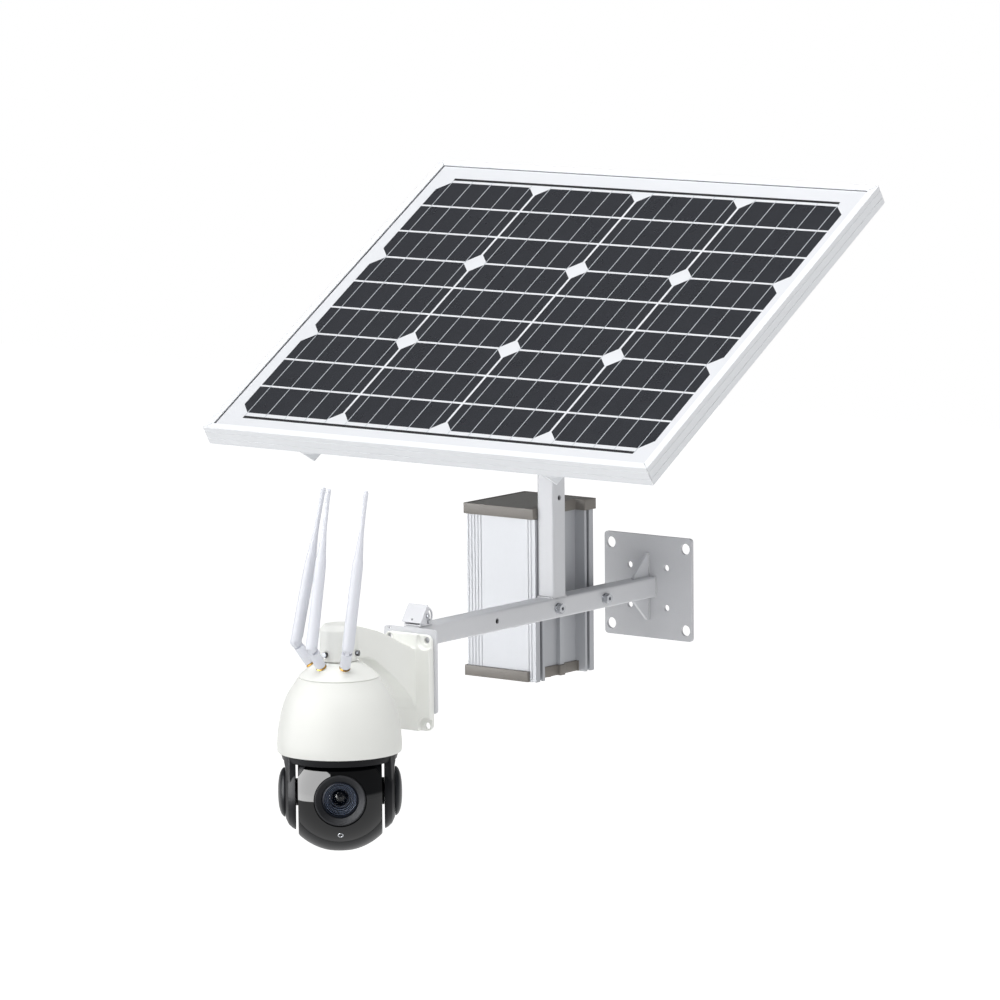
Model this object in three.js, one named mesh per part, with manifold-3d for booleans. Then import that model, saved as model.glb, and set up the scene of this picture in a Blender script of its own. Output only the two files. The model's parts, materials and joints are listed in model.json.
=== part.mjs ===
// A solar-powered security camera on a wall arm.
// Millimetres, +Z up. The origin is the centre of the wall plate's back face, the wall lies
// on the +Y side, the arm reaches out along -Y and +X is to the right of someone facing the wall.
import * as THREE from "three";
import { mergeVertices } from "three/addons/utils/BufferGeometryUtils.js";
import Module from "manifold-3d";

const wasm = await Module();
wasm.setup();

// ---------------------------------------------------------------- driving dimensions
const GAP = 0.3; // air left between pieces that touch
const TUBE = 25; // side of the square steel tube of the arm and the post
const TUBE_WALL = 2;
const HALF_TUBE = TUBE / 2;

const PLATE = { width: 134, height: 129, thick: 4, corner: 4 };
const PLATE_HOLES = [
  { x: 57, z: 51, radius: 6.9 },
  { x: 28, z: 25, radius: 4.1 },
];

const ARM_END = -477.4; // y of the arm's outer end
const POST_Y = -201.7; // y of the post's centre line
const POST_TOP = 250;
const GUSSET = { reach: 31, rise: 29, thick: 4 };

// Solar panel: 36 half-width strips of 156 mm cells give a 668 x 556 mm module.
const PANEL = { width: 668, depth: 556, thick: 25 };
const PANEL_TILT = THREE.MathUtils.degToRad(31.4);
const PANEL_PIVOT = new THREE.Vector3(0, POST_Y, 278.8);
const PANEL_ABOVE_PIVOT = 88; // pivot to the panel's top face, square to the panel
const PANEL_BEHIND_PIVOT = 29; // pivot to the panel's middle, towards the wall
const FRAME_LIP = 10;
const FRAME_FLANGE = 18;
const RAIL = { leg: 25, flange: 20, thick: 2.5, mitre: 15 };
const RAIL_STARTS = { panel_rail_left: -193, panel_rail_right: 173 };

// Battery box: an aluminium extrusion with two T-slot columns that bolt to the arm.
const BOX = { left: -118, right: -13, front: -217.7, back: -99.7 };
const BOX_RECESS = -27.5; // x of the wall between the two columns
const COLUMN_BACK = -23; // x where the lower cap ends behind each column
const BOX_COLUMN = 18; // width of a column along Y
const BOX_TOP = 107.5;
const BOX_BOTTOM = -80;
const CAP_HEIGHT = 13;
const CAP_OVERHANG = 3.2;
const SLOT_YS = [-206.7, -110.7]; // y of the T-slots and of the bolts through the arm
const SLOT_MOUTH = 5.2;
const FLUTE_DEPTH = 0.5; // of the small grooves that run down the case
const GLANDS = { x: -72, ys: [-148, -118] };

// Camera: everything is placed from the vertical pan axis and the height of the tilt axis.
const AXIS_Y = -615.2;
const TILT_Z = -164.8;
const HEAD_TURN = THREE.MathUtils.degToRad(39); // the head looks to the front and the right
const DOME_RIM_Z = -116;
const SEAM_Z = -28.4;
const DOME_TOP_Z = -10;
const NECK = { radius: 22, bottom: -9, top: 34 };
const BASE = { halfWidth: 36, top: 5.5, bottom: -110, back: -480.5, thick: 9 };
const BALL_RADIUS = 70;
const BALL_HALF_WIDTH = 49;
const BALL_BOTTOM = -66.7; // flat underside of the ball, below the tilt axis
const YOKE_INNER = 52;
const HUB_RADIUS = 16;
const SHELL_INSIDE = 66.5; // radius of the ball's inside
const BEZEL_RADIUS = 30.4;
const BEZEL_FRONT = -62; // where the bezel's flat front is, along Y from the tilt axis
const BARREL_RADIUS = 21.2;

const TOOTH = 2 * Math.PI; // circular pitch of the pan gears, module 2
const PAN_GEAR_TEETH = 34;
const PINION_TEETH = 8;

// Antennas stand on the dome cap: where each sits around the cap and which way its whip leans.
const ANTENNAS = [
  { side: "left", around: -52, lean: [0.146, 0.117] },
  { side: "middle", around: 0, lean: [0, 0.19] },
  { side: "right", around: 52, lean: [0.098, 0.079] },
];
const ANTENNA = { seatRadius: 31, seatZ: -15, tilt: 34, hinge: 33, whip: 186 };

// ---------------------------------------------------------------- materials
const paint = (name, color, roughness, metalness) =>
  new THREE.MeshStandardMaterial({ name, color, roughness, metalness });
const STEEL = paint("light_steel", 0xc3c4c6, 0.5, 0.5);
const PALE_STEEL = paint("pale_steel", 0xf0f1f4, 0.5, 0.2);
const BOLT = paint("bolt_steel", 0xb9bcc0, 0.25, 1);
const ALUMINIUM = paint("anodised_aluminium", 0xe6e8ec, 0.4, 0.6);
const CAP = paint("taupe_plastic", 0x7b7771, 0.5, 0);
const SHELL = paint("white_shell", 0xeceee8, 0.45, 0);
const BLACK = paint("black_plastic", 0x202226, 0.45, 0);
const GLASS = paint("dark_glass", 0x0b0d12, 0.05, 0);
const CELL = paint("cell_blue", 0x30333d, 0.3, 0);
const CLEAR = paint("clear_glass", 0xdfe6ea, 0.05, 0);
const GOLD = paint("gold_brass", 0xd09a33, 0.3, 1);
const WHIP = paint("antenna_white", 0xf1f2f8, 0.5, 0);
const BOARD = paint("circuit_green", 0x1f5b3a, 0.6, 0);
const BATTERY = paint("battery_blue", 0x2c4f8f, 0.5, 0);

// ---------------------------------------------------------------- shape helpers
const model = new THREE.Group();

function solidOf(geometry) {
  const loose = geometry.index ? geometry.toNonIndexed() : geometry;
  const bare = new THREE.BufferGeometry().setAttribute("position", loose.getAttribute("position"));
  const merged = mergeVertices(bare, 1e-4);
  const corners = merged.index.array;
  const kept = [];
  for (let i = 0; i < corners.length; i += 3) {
    const [a, b, c] = [corners[i], corners[i + 1], corners[i + 2]];
    if (a !== b && b !== c && c !== a) kept.push(a, b, c);
  }
  const mesh = new wasm.Mesh({
    numProp: 3,
    vertProperties: merged.attributes.position.array,
    triVerts: new Uint32Array(kept),
  });
  return new wasm.Manifold(mesh);
}

function geometryOf(solid) {
  const mesh = solid.getMesh();
  const places = new Float32Array(mesh.numVert * 3);
  for (let i = 0; i < mesh.numVert; i += 1) {
    places.set(mesh.vertProperties.subarray(i * mesh.numProp, i * mesh.numProp + 3), i * 3);
  }
  const geometry = new THREE.BufferGeometry();
  geometry.setAttribute("position", new THREE.BufferAttribute(places, 3));
  geometry.setIndex(new THREE.BufferAttribute(mesh.triVerts, 1));
  return geometry;
}

const joined = (...parts) => parts.map(solidOf).reduce((whole, part) => whole.add(part));
const cutFrom = (solid, ...parts) => parts.map(solidOf).reduce((left, part) => left.subtract(part), solid);

function add(name, shape, material, parent = model) {
  const geometry = shape.isBufferGeometry ? shape : geometryOf(shape);
  const mesh = new THREE.Mesh(geometry, material);
  mesh.name = name;
  parent.add(mesh);
  return mesh;
}

function outline(points) {
  return new THREE.Shape(points.map(([x, y]) => new THREE.Vector2(x, y)));
}

function ring(cx, cy, radius, sides = 16, turn = 0) {
  const points = [];
  for (let i = 0; i < sides; i += 1) {
    const angle = turn + (i * 2 * Math.PI) / sides;
    points.push([cx + radius * Math.cos(angle), cy + radius * Math.sin(angle)]);
  }
  return points;
}

// Points of an arc, from one angle to another, in degrees.
function arc(cx, cy, radius, from, to, steps) {
  const points = [];
  for (let i = 0; i <= steps; i += 1) {
    const angle = THREE.MathUtils.degToRad(from + ((to - from) * i) / steps);
    points.push([cx + radius * Math.cos(angle), cy + radius * Math.sin(angle)]);
  }
  return points;
}

// An outline of [x, y] points pushed along Z, of [x, z] points along Y, or of [y, z] points along X.
function prism(axis, points, low, high, holes = []) {
  const shape = outline(points);
  for (const hole of holes) shape.holes.push(outline(hole));
  const geometry = new THREE.ExtrudeGeometry(shape, { depth: high - low, bevelEnabled: false, steps: 1 });
  if (axis === "z") return geometry.translate(0, 0, low);
  if (axis === "y") return geometry.rotateX(Math.PI / 2).translate(0, high, 0);
  const toX = new THREE.Matrix4().makeBasis(
    new THREE.Vector3(0, 1, 0),
    new THREE.Vector3(0, 0, 1),
    new THREE.Vector3(1, 0, 0),
  );
  return geometry.applyMatrix4(toX).translate(low, 0, 0);
}

function box(x0, x1, y0, y1, z0, z1) {
  const geometry = new THREE.BoxGeometry(x1 - x0, y1 - y0, z1 - z0);
  return geometry.translate((x0 + x1) / 2, (y0 + y1) / 2, (z0 + z1) / 2);
}

// A round bar along an axis, from low to high, with its centre line at the two other coordinates.
const bar = (axis, u, v, radius, low, high, sides = 16, turn = 0) =>
  prism(axis, ring(u, v, radius, sides, turn), low, high);

// A profile of [radius, z] points turned about Z. It starts and ends on the axis or closes on itself.
function lathe(profile, sides = 40) {
  const points = profile.map(([radius, z]) => new THREE.Vector2(radius, z));
  return new THREE.LatheGeometry(points, sides).rotateX(Math.PI / 2);
}

function rounded(x0, x1, y0, y1, radius, steps = 3) {
  return [
    ...arc(x1 - radius, y1 - radius, radius, 0, 90, steps),
    ...arc(x0 + radius, y1 - radius, radius, 90, 180, steps),
    ...arc(x0 + radius, y0 + radius, radius, 180, 270, steps),
    ...arc(x1 - radius, y0 + radius, radius, 270, 360, steps),
  ];
}

function groupAt(x, y, z, parent = model) {
  const group = new THREE.Group();
  group.position.set(x, y, z);
  parent.add(group);
  return group;
}

// ---------------------------------------------------------------- wall plate, arm and post
function buildWallPlate() {
  const { width, height, thick, corner } = PLATE;
  const holes = [];
  for (const { x, z, radius } of PLATE_HOLES) {
    for (const sx of [-1, 1]) {
      for (const sz of [-1, 1]) holes.push(ring(sx * x, sz * z, radius, 12));
    }
  }
  const edge = rounded(-width / 2, width / 2, -height / 2, height / 2, corner);
  add("wall_plate", prism("y", edge, -thick, 0, holes), STEEL);

  const root = -thick - GAP;
  const start = HALF_TUBE + GAP;
  const { reach, rise } = GUSSET;
  for (const [name, way] of [["gusset_top", 1], ["gusset_bottom", -1]]) {
    const side = [
      [root, way * start],
      [root, way * (start + rise)],
      [root - 4, way * (start + rise)],
      [root - reach, way * (start + 3)],
      [root - reach, way * start],
    ];
    add(name, prism("x", side, -GUSSET.thick / 2, GUSSET.thick / 2), STEEL);
  }
}

const square = (half) => [[half, half], [-half, half], [-half, -half], [half, -half]];

function buildArmAndPost() {
  const armHoles = [...SLOT_YS, -327];
  const armTube = prism("y", square(HALF_TUBE), ARM_END, -PLATE.thick - GAP, [
    square(HALF_TUBE - TUBE_WALL),
  ]);
  const bores = armHoles.map((y) => bar("x", y, 0, 3.3, -TUBE, TUBE, 14));
  add("support_arm", cutFrom(solidOf(armTube), ...bores), STEEL);

  const outer = square(HALF_TUBE).map(([x, y]) => [x, y + POST_Y]);
  const inner = square(HALF_TUBE - TUBE_WALL).map(([x, y]) => [x, y + POST_Y]);
  const postTube = prism("z", outer, HALF_TUBE + GAP, POST_TOP, [inner]);
  const spareHole = bar("x", POST_Y, 135, 3.3, -TUBE, TUBE, 14);
  add("panel_post", cutFrom(solidOf(postTube), spareHole), STEEL);
}

function buildCameraPlate() {
  const holes = [ring(-28, -1, 3, 14), ring(28, -1, 3, 14), ring(-31, 8.6, 1.4, 10)];
  const edge = rounded(-39.5, 39.5, -89, 11.5, 4);
  add("camera_plate", prism("y", edge, ARM_END - GAP - 2.5, ARM_END - GAP, holes), PALE_STEEL);
}

// A bolt through the arm whose T-head sits in a column's slot, with its nut on the arm's +X side.
function buildSlotBolts() {
  ["slot_bolt_front", "slot_bolt_rear"].forEach((name, i) => {
    const y = SLOT_YS[i];
    const headEnd = BOX.right - 2 - GAP;
    const bolt = joined(
      box(headEnd - 4, headEnd, y - 4.4, y + 4.4, -4.4, 4.4),
      bar("x", y, 0, 2.4, headEnd - 1, HALF_TUBE + 8.6, 12),
      bar("x", y, 0, 6.6, HALF_TUBE + GAP, HALF_TUBE + 1.5, 20),
      bar("x", y, 0, 6.2, HALF_TUBE + 1.2, HALF_TUBE + 8, 6, Math.PI / 6),
    );
    add(name, bolt, BOLT);
  });
}

// ---------------------------------------------------------------- battery box
// The extrusion's section, seen from above, counter-clockwise from the front left corner.
function caseOutline() {
  const flute = (x, y, inward) => [[x - 0.7, y], [x, y + inward], [x + 0.7, y]];
  const points = [];
  const fluteXs = [0, 1, 2, 3, 4].map((i) => BOX.left + 3 + i * 4.8);
  const cornerFlutes = [BOX_RECESS + 4, BOX_RECESS + 8.5];
  points.push([BOX.left, BOX.front]);
  for (const x of [...fluteXs, ...cornerFlutes]) points.push(...flute(x, BOX.front, FLUTE_DEPTH));
  points.push([BOX.right, BOX.front]);
  points.push(...columnFace(SLOT_YS[0], BOX.front + BOX_COLUMN));
  points.push([BOX_RECESS, BOX.front + BOX_COLUMN]);
  points.push([BOX_RECESS, -157], [BOX_RECESS + 5.5, -157], [BOX_RECESS + 5.5, -149], [BOX_RECESS, -149]);
  points.push([BOX_RECESS, BOX.back - BOX_COLUMN]);
  points.push([BOX.right, BOX.back - BOX_COLUMN]);
  points.push(...columnFace(SLOT_YS[1], BOX.back));
  for (const x of [...fluteXs, ...cornerFlutes].reverse()) {
    points.push(...flute(x, BOX.back, -FLUTE_DEPTH).reverse());
  }
  points.push([BOX.left, BOX.back]);
  return points;
}

// The +X face of a column, with its T-slot, up to the column's far corner.
function columnFace(middle, far) {
  const mouth = SLOT_MOUTH / 2;
  const lip = BOX.right - 2;
  const floor = lip - 5;
  return [
    [BOX.right, middle - mouth],
    [lip, middle - mouth],
    [lip, middle - 5],
    [floor, middle - 5],
    [floor, middle + 5],
    [lip, middle + 5],
    [lip, middle + mouth],
    [BOX.right, middle + mouth],
    [BOX.right, far],
  ];
}

function buildBatteryCase() {
  const wall = 2.5;
  const cavity = [
    [BOX.left + wall, BOX.front + wall],
    [BOX_RECESS - wall, BOX.front + wall],
    [BOX_RECESS - wall, BOX.back - wall],
    [BOX.left + wall, BOX.back - wall],
  ];
  const tall = prism("z", caseOutline(), BOX_BOTTOM - CAP_HEIGHT, BOX_TOP, [cavity]);
  const footRoom = prism("z", lowerCapOutline(GAP), BOX_BOTTOM - CAP_HEIGHT - 1, BOX_BOTTOM);
  const body = cutFrom(solidOf(tall), footRoom);
  add("battery_case", body, ALUMINIUM);
}

// Outline of the upper cap: it covers both columns, steps back between them and overhangs the rear one.
function upperCapOutline() {
  const { left, right, front, back } = BOX;
  const o = CAP_OVERHANG;
  const step = BOX_RECESS + 2;
  return [
    [left - o, front - o],
    [right, front - o],
    [right, front + BOX_COLUMN + 2],
    [step, front + BOX_COLUMN + 2],
    [step, back - BOX_COLUMN - 2],
    [right + 3, back - BOX_COLUMN - 2],
    [right + 3, back + o],
    [left - o, back + o],
  ];
}

// Outline of the lower cap: the columns run down past it, it fills the space between them and a
// short rib carries on the case's rib.
function lowerCapOutline(grow = 0) {
  const { left, front, back } = BOX;
  const o = CAP_OVERHANG + grow;
  const behind = COLUMN_BACK + grow;
  const edge = BOX_RECESS + 1.2 + grow;
  return [
    [left - o, front - o],
    [behind, front - o],
    [behind, front + BOX_COLUMN + GAP - grow],
    [edge, front + BOX_COLUMN + GAP - grow],
    [edge, -158 - grow],
    [edge + 6, -158 - grow],
    [edge + 6, -148 + grow],
    [edge, -148 + grow],
    [edge, back - BOX_COLUMN - GAP + grow],
    [behind, back - BOX_COLUMN - GAP + grow],
    [behind, back + o],
    [left - o, back + o],
  ];
}

function buildBatteryCaps() {
  const { left, front, back } = BOX;
  const inner = [left + 2.8, BOX_RECESS - 2.8, front + 2.8, back - 2.8];
  const top = joined(
    prism("z", upperCapOutline(), BOX_TOP + GAP, BOX_TOP + CAP_HEIGHT + GAP),
    box(...inner, BOX_TOP - 4, BOX_TOP + 1),
  );
  const trayFloor = BOX_TOP + CAP_HEIGHT - 0.7;
  const tray = box(left + 0.5, BOX_RECESS - 1, front + 0.5, back - 0.5, trayFloor, trayFloor + 20);
  add("battery_top_cap", cutFrom(top, tray), CAP);
  const low = BOX_BOTTOM - CAP_HEIGHT;
  const bottom = joined(
    prism("z", lowerCapOutline(), low, BOX_BOTTOM - GAP),
    box(...inner, BOX_BOTTOM - 1, BOX_BOTTOM + 4),
    ...GLANDS.ys.map((y) => bar("z", GLANDS.x, y, 8, low - 12, low + 1, 6)),
  );
  const cableHoles = GLANDS.ys.map((y) => bar("z", GLANDS.x, y, 3.4, BOX_BOTTOM - 40, BOX_BOTTOM + 10, 12));
  add("battery_bottom_cap", cutFrom(bottom, ...cableHoles), CAP);
}

function buildBatteryInsides() {
  const cells = prism("z", rounded(-110, -36, -211, -107, 8), -74, 44);
  add("battery_pack", cells, BATTERY);
  const controller = joined(
    box(-108, -38, -209, -109, 52, 54),
    box(-100, -60, -200, -150, 53, 66),
    box(-52, -42, -205, -115, 53, 63),
    bar("z", -84, -130, 6, 53, 74, 14),
  );
  add("charge_controller", controller, BOARD);
}

// ---------------------------------------------------------------- tilt bracket
// A fixed U with its cheeks up and a moving U with its cheeks down, hinged on one bolt.
// A second bolt locks the moving U through an arc slot. Everything is in the pivot's own frame.
function tiltBracket(size, fixedParent, movingParent, names) {
  const s = size;
  const lockAngle = THREE.MathUtils.degToRad(s.lockAngle);
  const lock = [s.slotRadius * Math.cos(lockAngle), s.slotRadius * Math.sin(lockAngle)];
  const floor = -s.pivotHeight;
  const inner = s.halfWidth;
  const hole = s.boltRadius + 0.35;

  const cheek = [
    [s.baseFront, floor],
    [s.baseBack, floor],
    [s.baseBack, floor + s.sheet],
    ...arc(0, 0, s.eyeRadius, 10, 170, 6),
    [s.baseFront, floor + s.sheet],
  ];
  const base = cutFrom(
    solidOf(prism("x", cheek, -inner, inner)),
    box(-inner + s.sheet, inner - s.sheet, s.baseFront - 1, s.baseBack + 1, floor + s.sheet, 200),
    bar("x", 0, 0, hole, -inner - 1, inner + 1, 12),
    bar("x", lock[0], lock[1], hole, -inner - 1, inner + 1, 12),
  );
  add(names.base, base, s.material, fixedParent);

  const outer = inner + GAP + 0.1 + s.sheet;
  const flap = [
    [s.webFront, s.webHeight + s.sheet],
    ...(s.lips ? [[s.webFront, s.webHeight - 3]] : []),
    ...arc(0, 0, s.slotRadius + s.slotRim, s.slotFrom - 14, s.slotTo + 14, 12),
    ...(s.lips ? [[s.webBack, s.webHeight - 3]] : []),
    [s.webBack, s.webHeight + s.sheet],
  ];
  const slot = [
    ...arc(0, 0, s.slotRadius + hole, s.slotFrom, s.slotTo, 10),
    ...arc(0, 0, s.slotRadius - hole, s.slotTo, s.slotFrom, 10),
  ];
  const yoke = cutFrom(
    solidOf(prism("x", flap, -outer, outer)),
    box(-outer + s.sheet, outer - s.sheet, -100, 100, -100, s.webHeight),
    prism("x", slot, -outer - 1, outer + 1),
    bar("x", 0, 0, hole, -outer - 1, outer + 1, 12),
    ...s.webHoles.map(([x, y, radius]) => bar("z", x, y, radius, 0, 100, 10)),
  );
  add(names.yoke, yoke, s.yokeMaterial, movingParent);

  const boltAt = (y, z) =>
    joined(
      bar("x", y, z, s.boltRadius, -outer - 2, outer + 2, 12),
      bar("x", y, z, s.boltRadius * 1.8, outer + GAP, outer + GAP + s.headHeight, 6),
      bar("x", y, z, s.boltRadius * 1.8, -outer - GAP - s.headHeight, -outer - GAP, 6),
    );
  add(names.pivot, boltAt(0, 0), BOLT, fixedParent);
  add(names.lock, boltAt(lock[0], lock[1]), BOLT, fixedParent);
}

// ---------------------------------------------------------------- solar panel
// Everything on the panel is modelled flat, with the tilt pivot at the group's origin.
const panelTop = PANEL_ABOVE_PIVOT;
const panelMiddle = PANEL_BEHIND_PIVOT;

// One mitred frame bar: its section is [distance in from the outer face, depth below the top].
function frameBar(length) {
  const groove = (depth) => [[0, -depth + 0.6], [0.8, -depth], [0, -depth - 0.6]];
  const section = [
    [0, 0],
    ...groove(0.27 * PANEL.thick),
    ...groove(0.66 * PANEL.thick),
    [0, -PANEL.thick],
    [FRAME_FLANGE, -PANEL.thick],
    [FRAME_FLANGE, -PANEL.thick + 1.6],
    [1.8, -PANEL.thick + 1.6],
    [1.8, -7.8],
    [9, -7.8],
    [9, -6.4],
    [1.8, -6.4],
    [1.8, -1.6],
    [FRAME_LIP, -1.6],
    [FRAME_LIP, 0],
  ];
  const geometry = prism("y", section, -1, 1);
  const place = geometry.getAttribute("position");
  for (let i = 0; i < place.count; i += 1) {
    const half = length / 2 - GAP - place.getX(i);
    place.setY(i, Math.sign(place.getY(i)) * half);
  }
  return geometry;
}

function buildPanel(panel) {
  const halfWidth = PANEL.width / 2;
  const halfDepth = PANEL.depth / 2;
  const bars = [
    ["panel_frame_left", PANEL.depth, -halfWidth, panelMiddle, 0],
    ["panel_frame_front", PANEL.width, 0, panelMiddle - halfDepth, Math.PI / 2],
    ["panel_frame_right", PANEL.depth, halfWidth, panelMiddle, Math.PI],
    ["panel_frame_rear", PANEL.width, 0, panelMiddle + halfDepth, -Math.PI / 2],
  ];
  for (const [name, length, x, y, turn] of bars) {
    const mesh = add(name, frameBar(length), ALUMINIUM, panel);
    mesh.position.set(x, y, panelTop);
    mesh.rotation.z = turn;
  }
  const inset = 2.4;
  const sheet = (low, high) =>
    box(
      -halfWidth + inset,
      halfWidth - inset,
      panelMiddle - halfDepth + inset,
      panelMiddle + halfDepth - inset,
      panelTop + low,
      panelTop + high,
    );
  add("panel_glass", sheet(-4.9, -1.9), CLEAR, panel);
  add("panel_backsheet", sheet(-6.1, -5.3), CELL, panel);

  const boxY = panelMiddle + 190;
  const lidEdge = rounded(-55, 55, boxY - 30, boxY + 30, 5);
  const junction = cutFrom(
    solidOf(prism("z", lidEdge, panelTop - 20, panelTop - 6.4)),
    box(-52, 52, boxY - 27, boxY + 27, panelTop - 21, panelTop - 9),
    bar("y", -20, panelTop - 14, 4.4, boxY - 40, boxY - 20, 12),
    bar("y", 20, panelTop - 14, 4.4, boxY - 40, boxY - 20, 12),
  );
  add("junction_box", junction, BLACK, panel);
  add("junction_box_lid", prism("z", lidEdge, panelTop - 23, panelTop - 20 - GAP), BLACK, panel);
}

function buildRails(panel) {
  const high = panelTop - PANEL.thick - GAP;
  const low = high - RAIL.leg;
  const front = panelMiddle - PANEL.depth / 2;
  const back = panelMiddle + PANEL.depth / 2;
  const side = [
    [front + RAIL.mitre, low],
    [back - RAIL.mitre, low],
    [back, high],
    [front, high],
  ];
  for (const [name, start] of Object.entries(RAIL_STARTS)) {
    const angle = cutFrom(
      solidOf(prism("x", side, start, start + RAIL.flange)),
      box(start + RAIL.thick, start + RAIL.flange + 1, front - 1, back + 1, low - 1, high - RAIL.thick),
    );
    add(name, angle, ALUMINIUM, panel);
  }
  const barTop = high - RAIL.thick - GAP;
  const from = RAIL_STARTS.panel_rail_left + RAIL.thick + GAP;
  const to = RAIL_STARTS.panel_rail_right - GAP;
  const centre = barTop - HALF_TUBE;
  const shift = (half) => square(half).map(([y, z]) => [y, z + centre]);
  const crossbar = prism("x", shift(HALF_TUBE), from, to, [shift(HALF_TUBE - TUBE_WALL)]);
  add("panel_crossbar", crossbar, STEEL, panel);
}

function buildPanelSide() {
  const head = groupAt(PANEL_PIVOT.x, PANEL_PIVOT.y, PANEL_PIVOT.z);
  const panel = groupAt(PANEL_PIVOT.x, PANEL_PIVOT.y, PANEL_PIVOT.z);
  panel.rotation.x = PANEL_TILT;
  const webHeight = panelTop - PANEL.thick - 2 * GAP - RAIL.thick - TUBE - 3 - GAP;
  const size = {
    halfWidth: 14.5,
    sheet: 3,
    pivotHeight: PANEL_PIVOT.z - POST_TOP - GAP,
    baseFront: -22,
    baseBack: 22,
    eyeRadius: 11,
    boltRadius: 3,
    headHeight: 5,
    slotRadius: 19,
    slotRim: 8,
    slotFrom: -160,
    slotTo: -79.5,
    lockAngle: -90,
    webFront: -34,
    webBack: 34,
    webHeight,
    lips: true, // the web's ends turn down beside the cheeks
    webHoles: [],
    material: STEEL,
    yokeMaterial: STEEL,
  };
  tiltBracket(size, head, panel, {
    base: "post_head",
    yoke: "panel_yoke",
    pivot: "tilt_pivot_bolt",
    lock: "tilt_lock_bolt",
  });
  buildPanel(panel);
  buildRails(panel);
}

// ---------------------------------------------------------------- small bracket on the arm's end
const ACCESSORY_PIVOT = new THREE.Vector3(0, -465.7, 24.3);
const ACCESSORY_TILT = THREE.MathUtils.degToRad(55.7);

function buildAccessoryBracket() {
  const { x, y, z } = ACCESSORY_PIVOT;
  const base = groupAt(x, y, z);
  const top = groupAt(x, y, z);
  top.rotation.x = ACCESSORY_TILT;
  const size = {
    halfWidth: 12.3,
    sheet: 1.8,
    pivotHeight: z - HALF_TUBE - GAP,
    baseFront: -10,
    baseBack: 12.5,
    eyeRadius: 4.2,
    boltRadius: 1.6,
    headHeight: 2.2,
    slotRadius: 7.3,
    slotRim: 3.7,
    slotFrom: -145,
    slotTo: 4,
    lockAngle: -70,
    webFront: -13,
    webBack: 11.8,
    webHeight: 4.8,
    lips: false,
    webHoles: [[0, -9, 1.4]],
    material: STEEL,
    yokeMaterial: PALE_STEEL,
  };
  tiltBracket(size, base, top, {
    base: "accessory_base",
    yoke: "accessory_yoke",
    pivot: "accessory_pivot_bolt",
    lock: "accessory_lock_bolt",
  });
}

// ---------------------------------------------------------------- camera wall bracket
function buildCameraBracket() {
  const { halfWidth, top, bottom, back, thick } = BASE;
  const face = back - thick;
  const earZs = [-1, -103.5];
  const plate = prism("y", rounded(-halfWidth, halfWidth, bottom, top, 9, 4), face, back);

  // The swan neck's side view: over the top from the base to the neck, and back round the dome.
  const side = [
    [back - 1, -14],
    [face - 1, -11.5],
    [face - 14, -5.5],
    [face - 30, 1.5],
    [face - 47, 10],
    [face - 70, 19.5],
    [face - 94, 26.5],
    [AXIS_Y + 10, NECK.top - 1],
    [AXIS_Y, NECK.top],
    [AXIS_Y, NECK.bottom],
    [AXIS_Y + 22, NECK.bottom],
    [AXIS_Y + 36, -9.5],
    [AXIS_Y + 50, -14.5],
    [AXIS_Y + 73, -31],
    [AXIS_Y + 90, -44],
    [AXIS_Y + 106, -58],
    [AXIS_Y + 117, -70],
    [AXIS_Y + 125, -83],
    [back - 1, -100],
  ];
  const web = prism("x", side, -15, 15);
  const { radius } = NECK;
  const neck = lathe(
    [[0, NECK.bottom], [radius, NECK.bottom], [radius, NECK.top - 6], [radius - 5, NECK.top], [0, NECK.top]],
    28,
  ).translate(0, AXIS_Y, 0);
  const ears = [];
  for (const x of [-28, 28]) {
    for (const z of earZs) {
      ears.push(bar("y", x, z, 11, face - 1, face + 4.5, 20));
      ears.push(bar("y", x, z, 4, face - 1, back + 1, 14));
    }
  }
  const body = cutFrom(
    joined(plate, web, neck),
    ...ears,
    bar("z", 0, AXIS_Y, 15, NECK.bottom - 1, 24, 24),
    ...neckScrewBores(),
  );
  add("camera_bracket", body, SHELL);
}

// Directions, seen from above, of the screws that clamp the dome's tube in the neck.
const NECK_SCREWS = { neck_screw_left: -2, neck_screw_right: 110 };

function aroundAxis(geometry, degrees) {
  return geometry.rotateZ(THREE.MathUtils.degToRad(degrees)).translate(0, AXIS_Y, 0);
}

function neckScrewBores() {
  const bore = () => bar("y", 0, 0, 2.6, -NECK.radius - 2, -13, 10);
  return Object.values(NECK_SCREWS).map((turn) => aroundAxis(bore(), turn));
}

function buildNeckScrews() {
  for (const [name, turn] of Object.entries(NECK_SCREWS)) {
    const screw = joined(
      bar("y", 0, 0, 2.2, -NECK.radius - 1, -15, 10),
      bar("y", 0, 0, 3.6, -NECK.radius - 3.8, -NECK.radius - GAP, 6),
    );
    add(name, aroundAxis(geometryOf(screw), turn), BOLT);
  }
}

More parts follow.
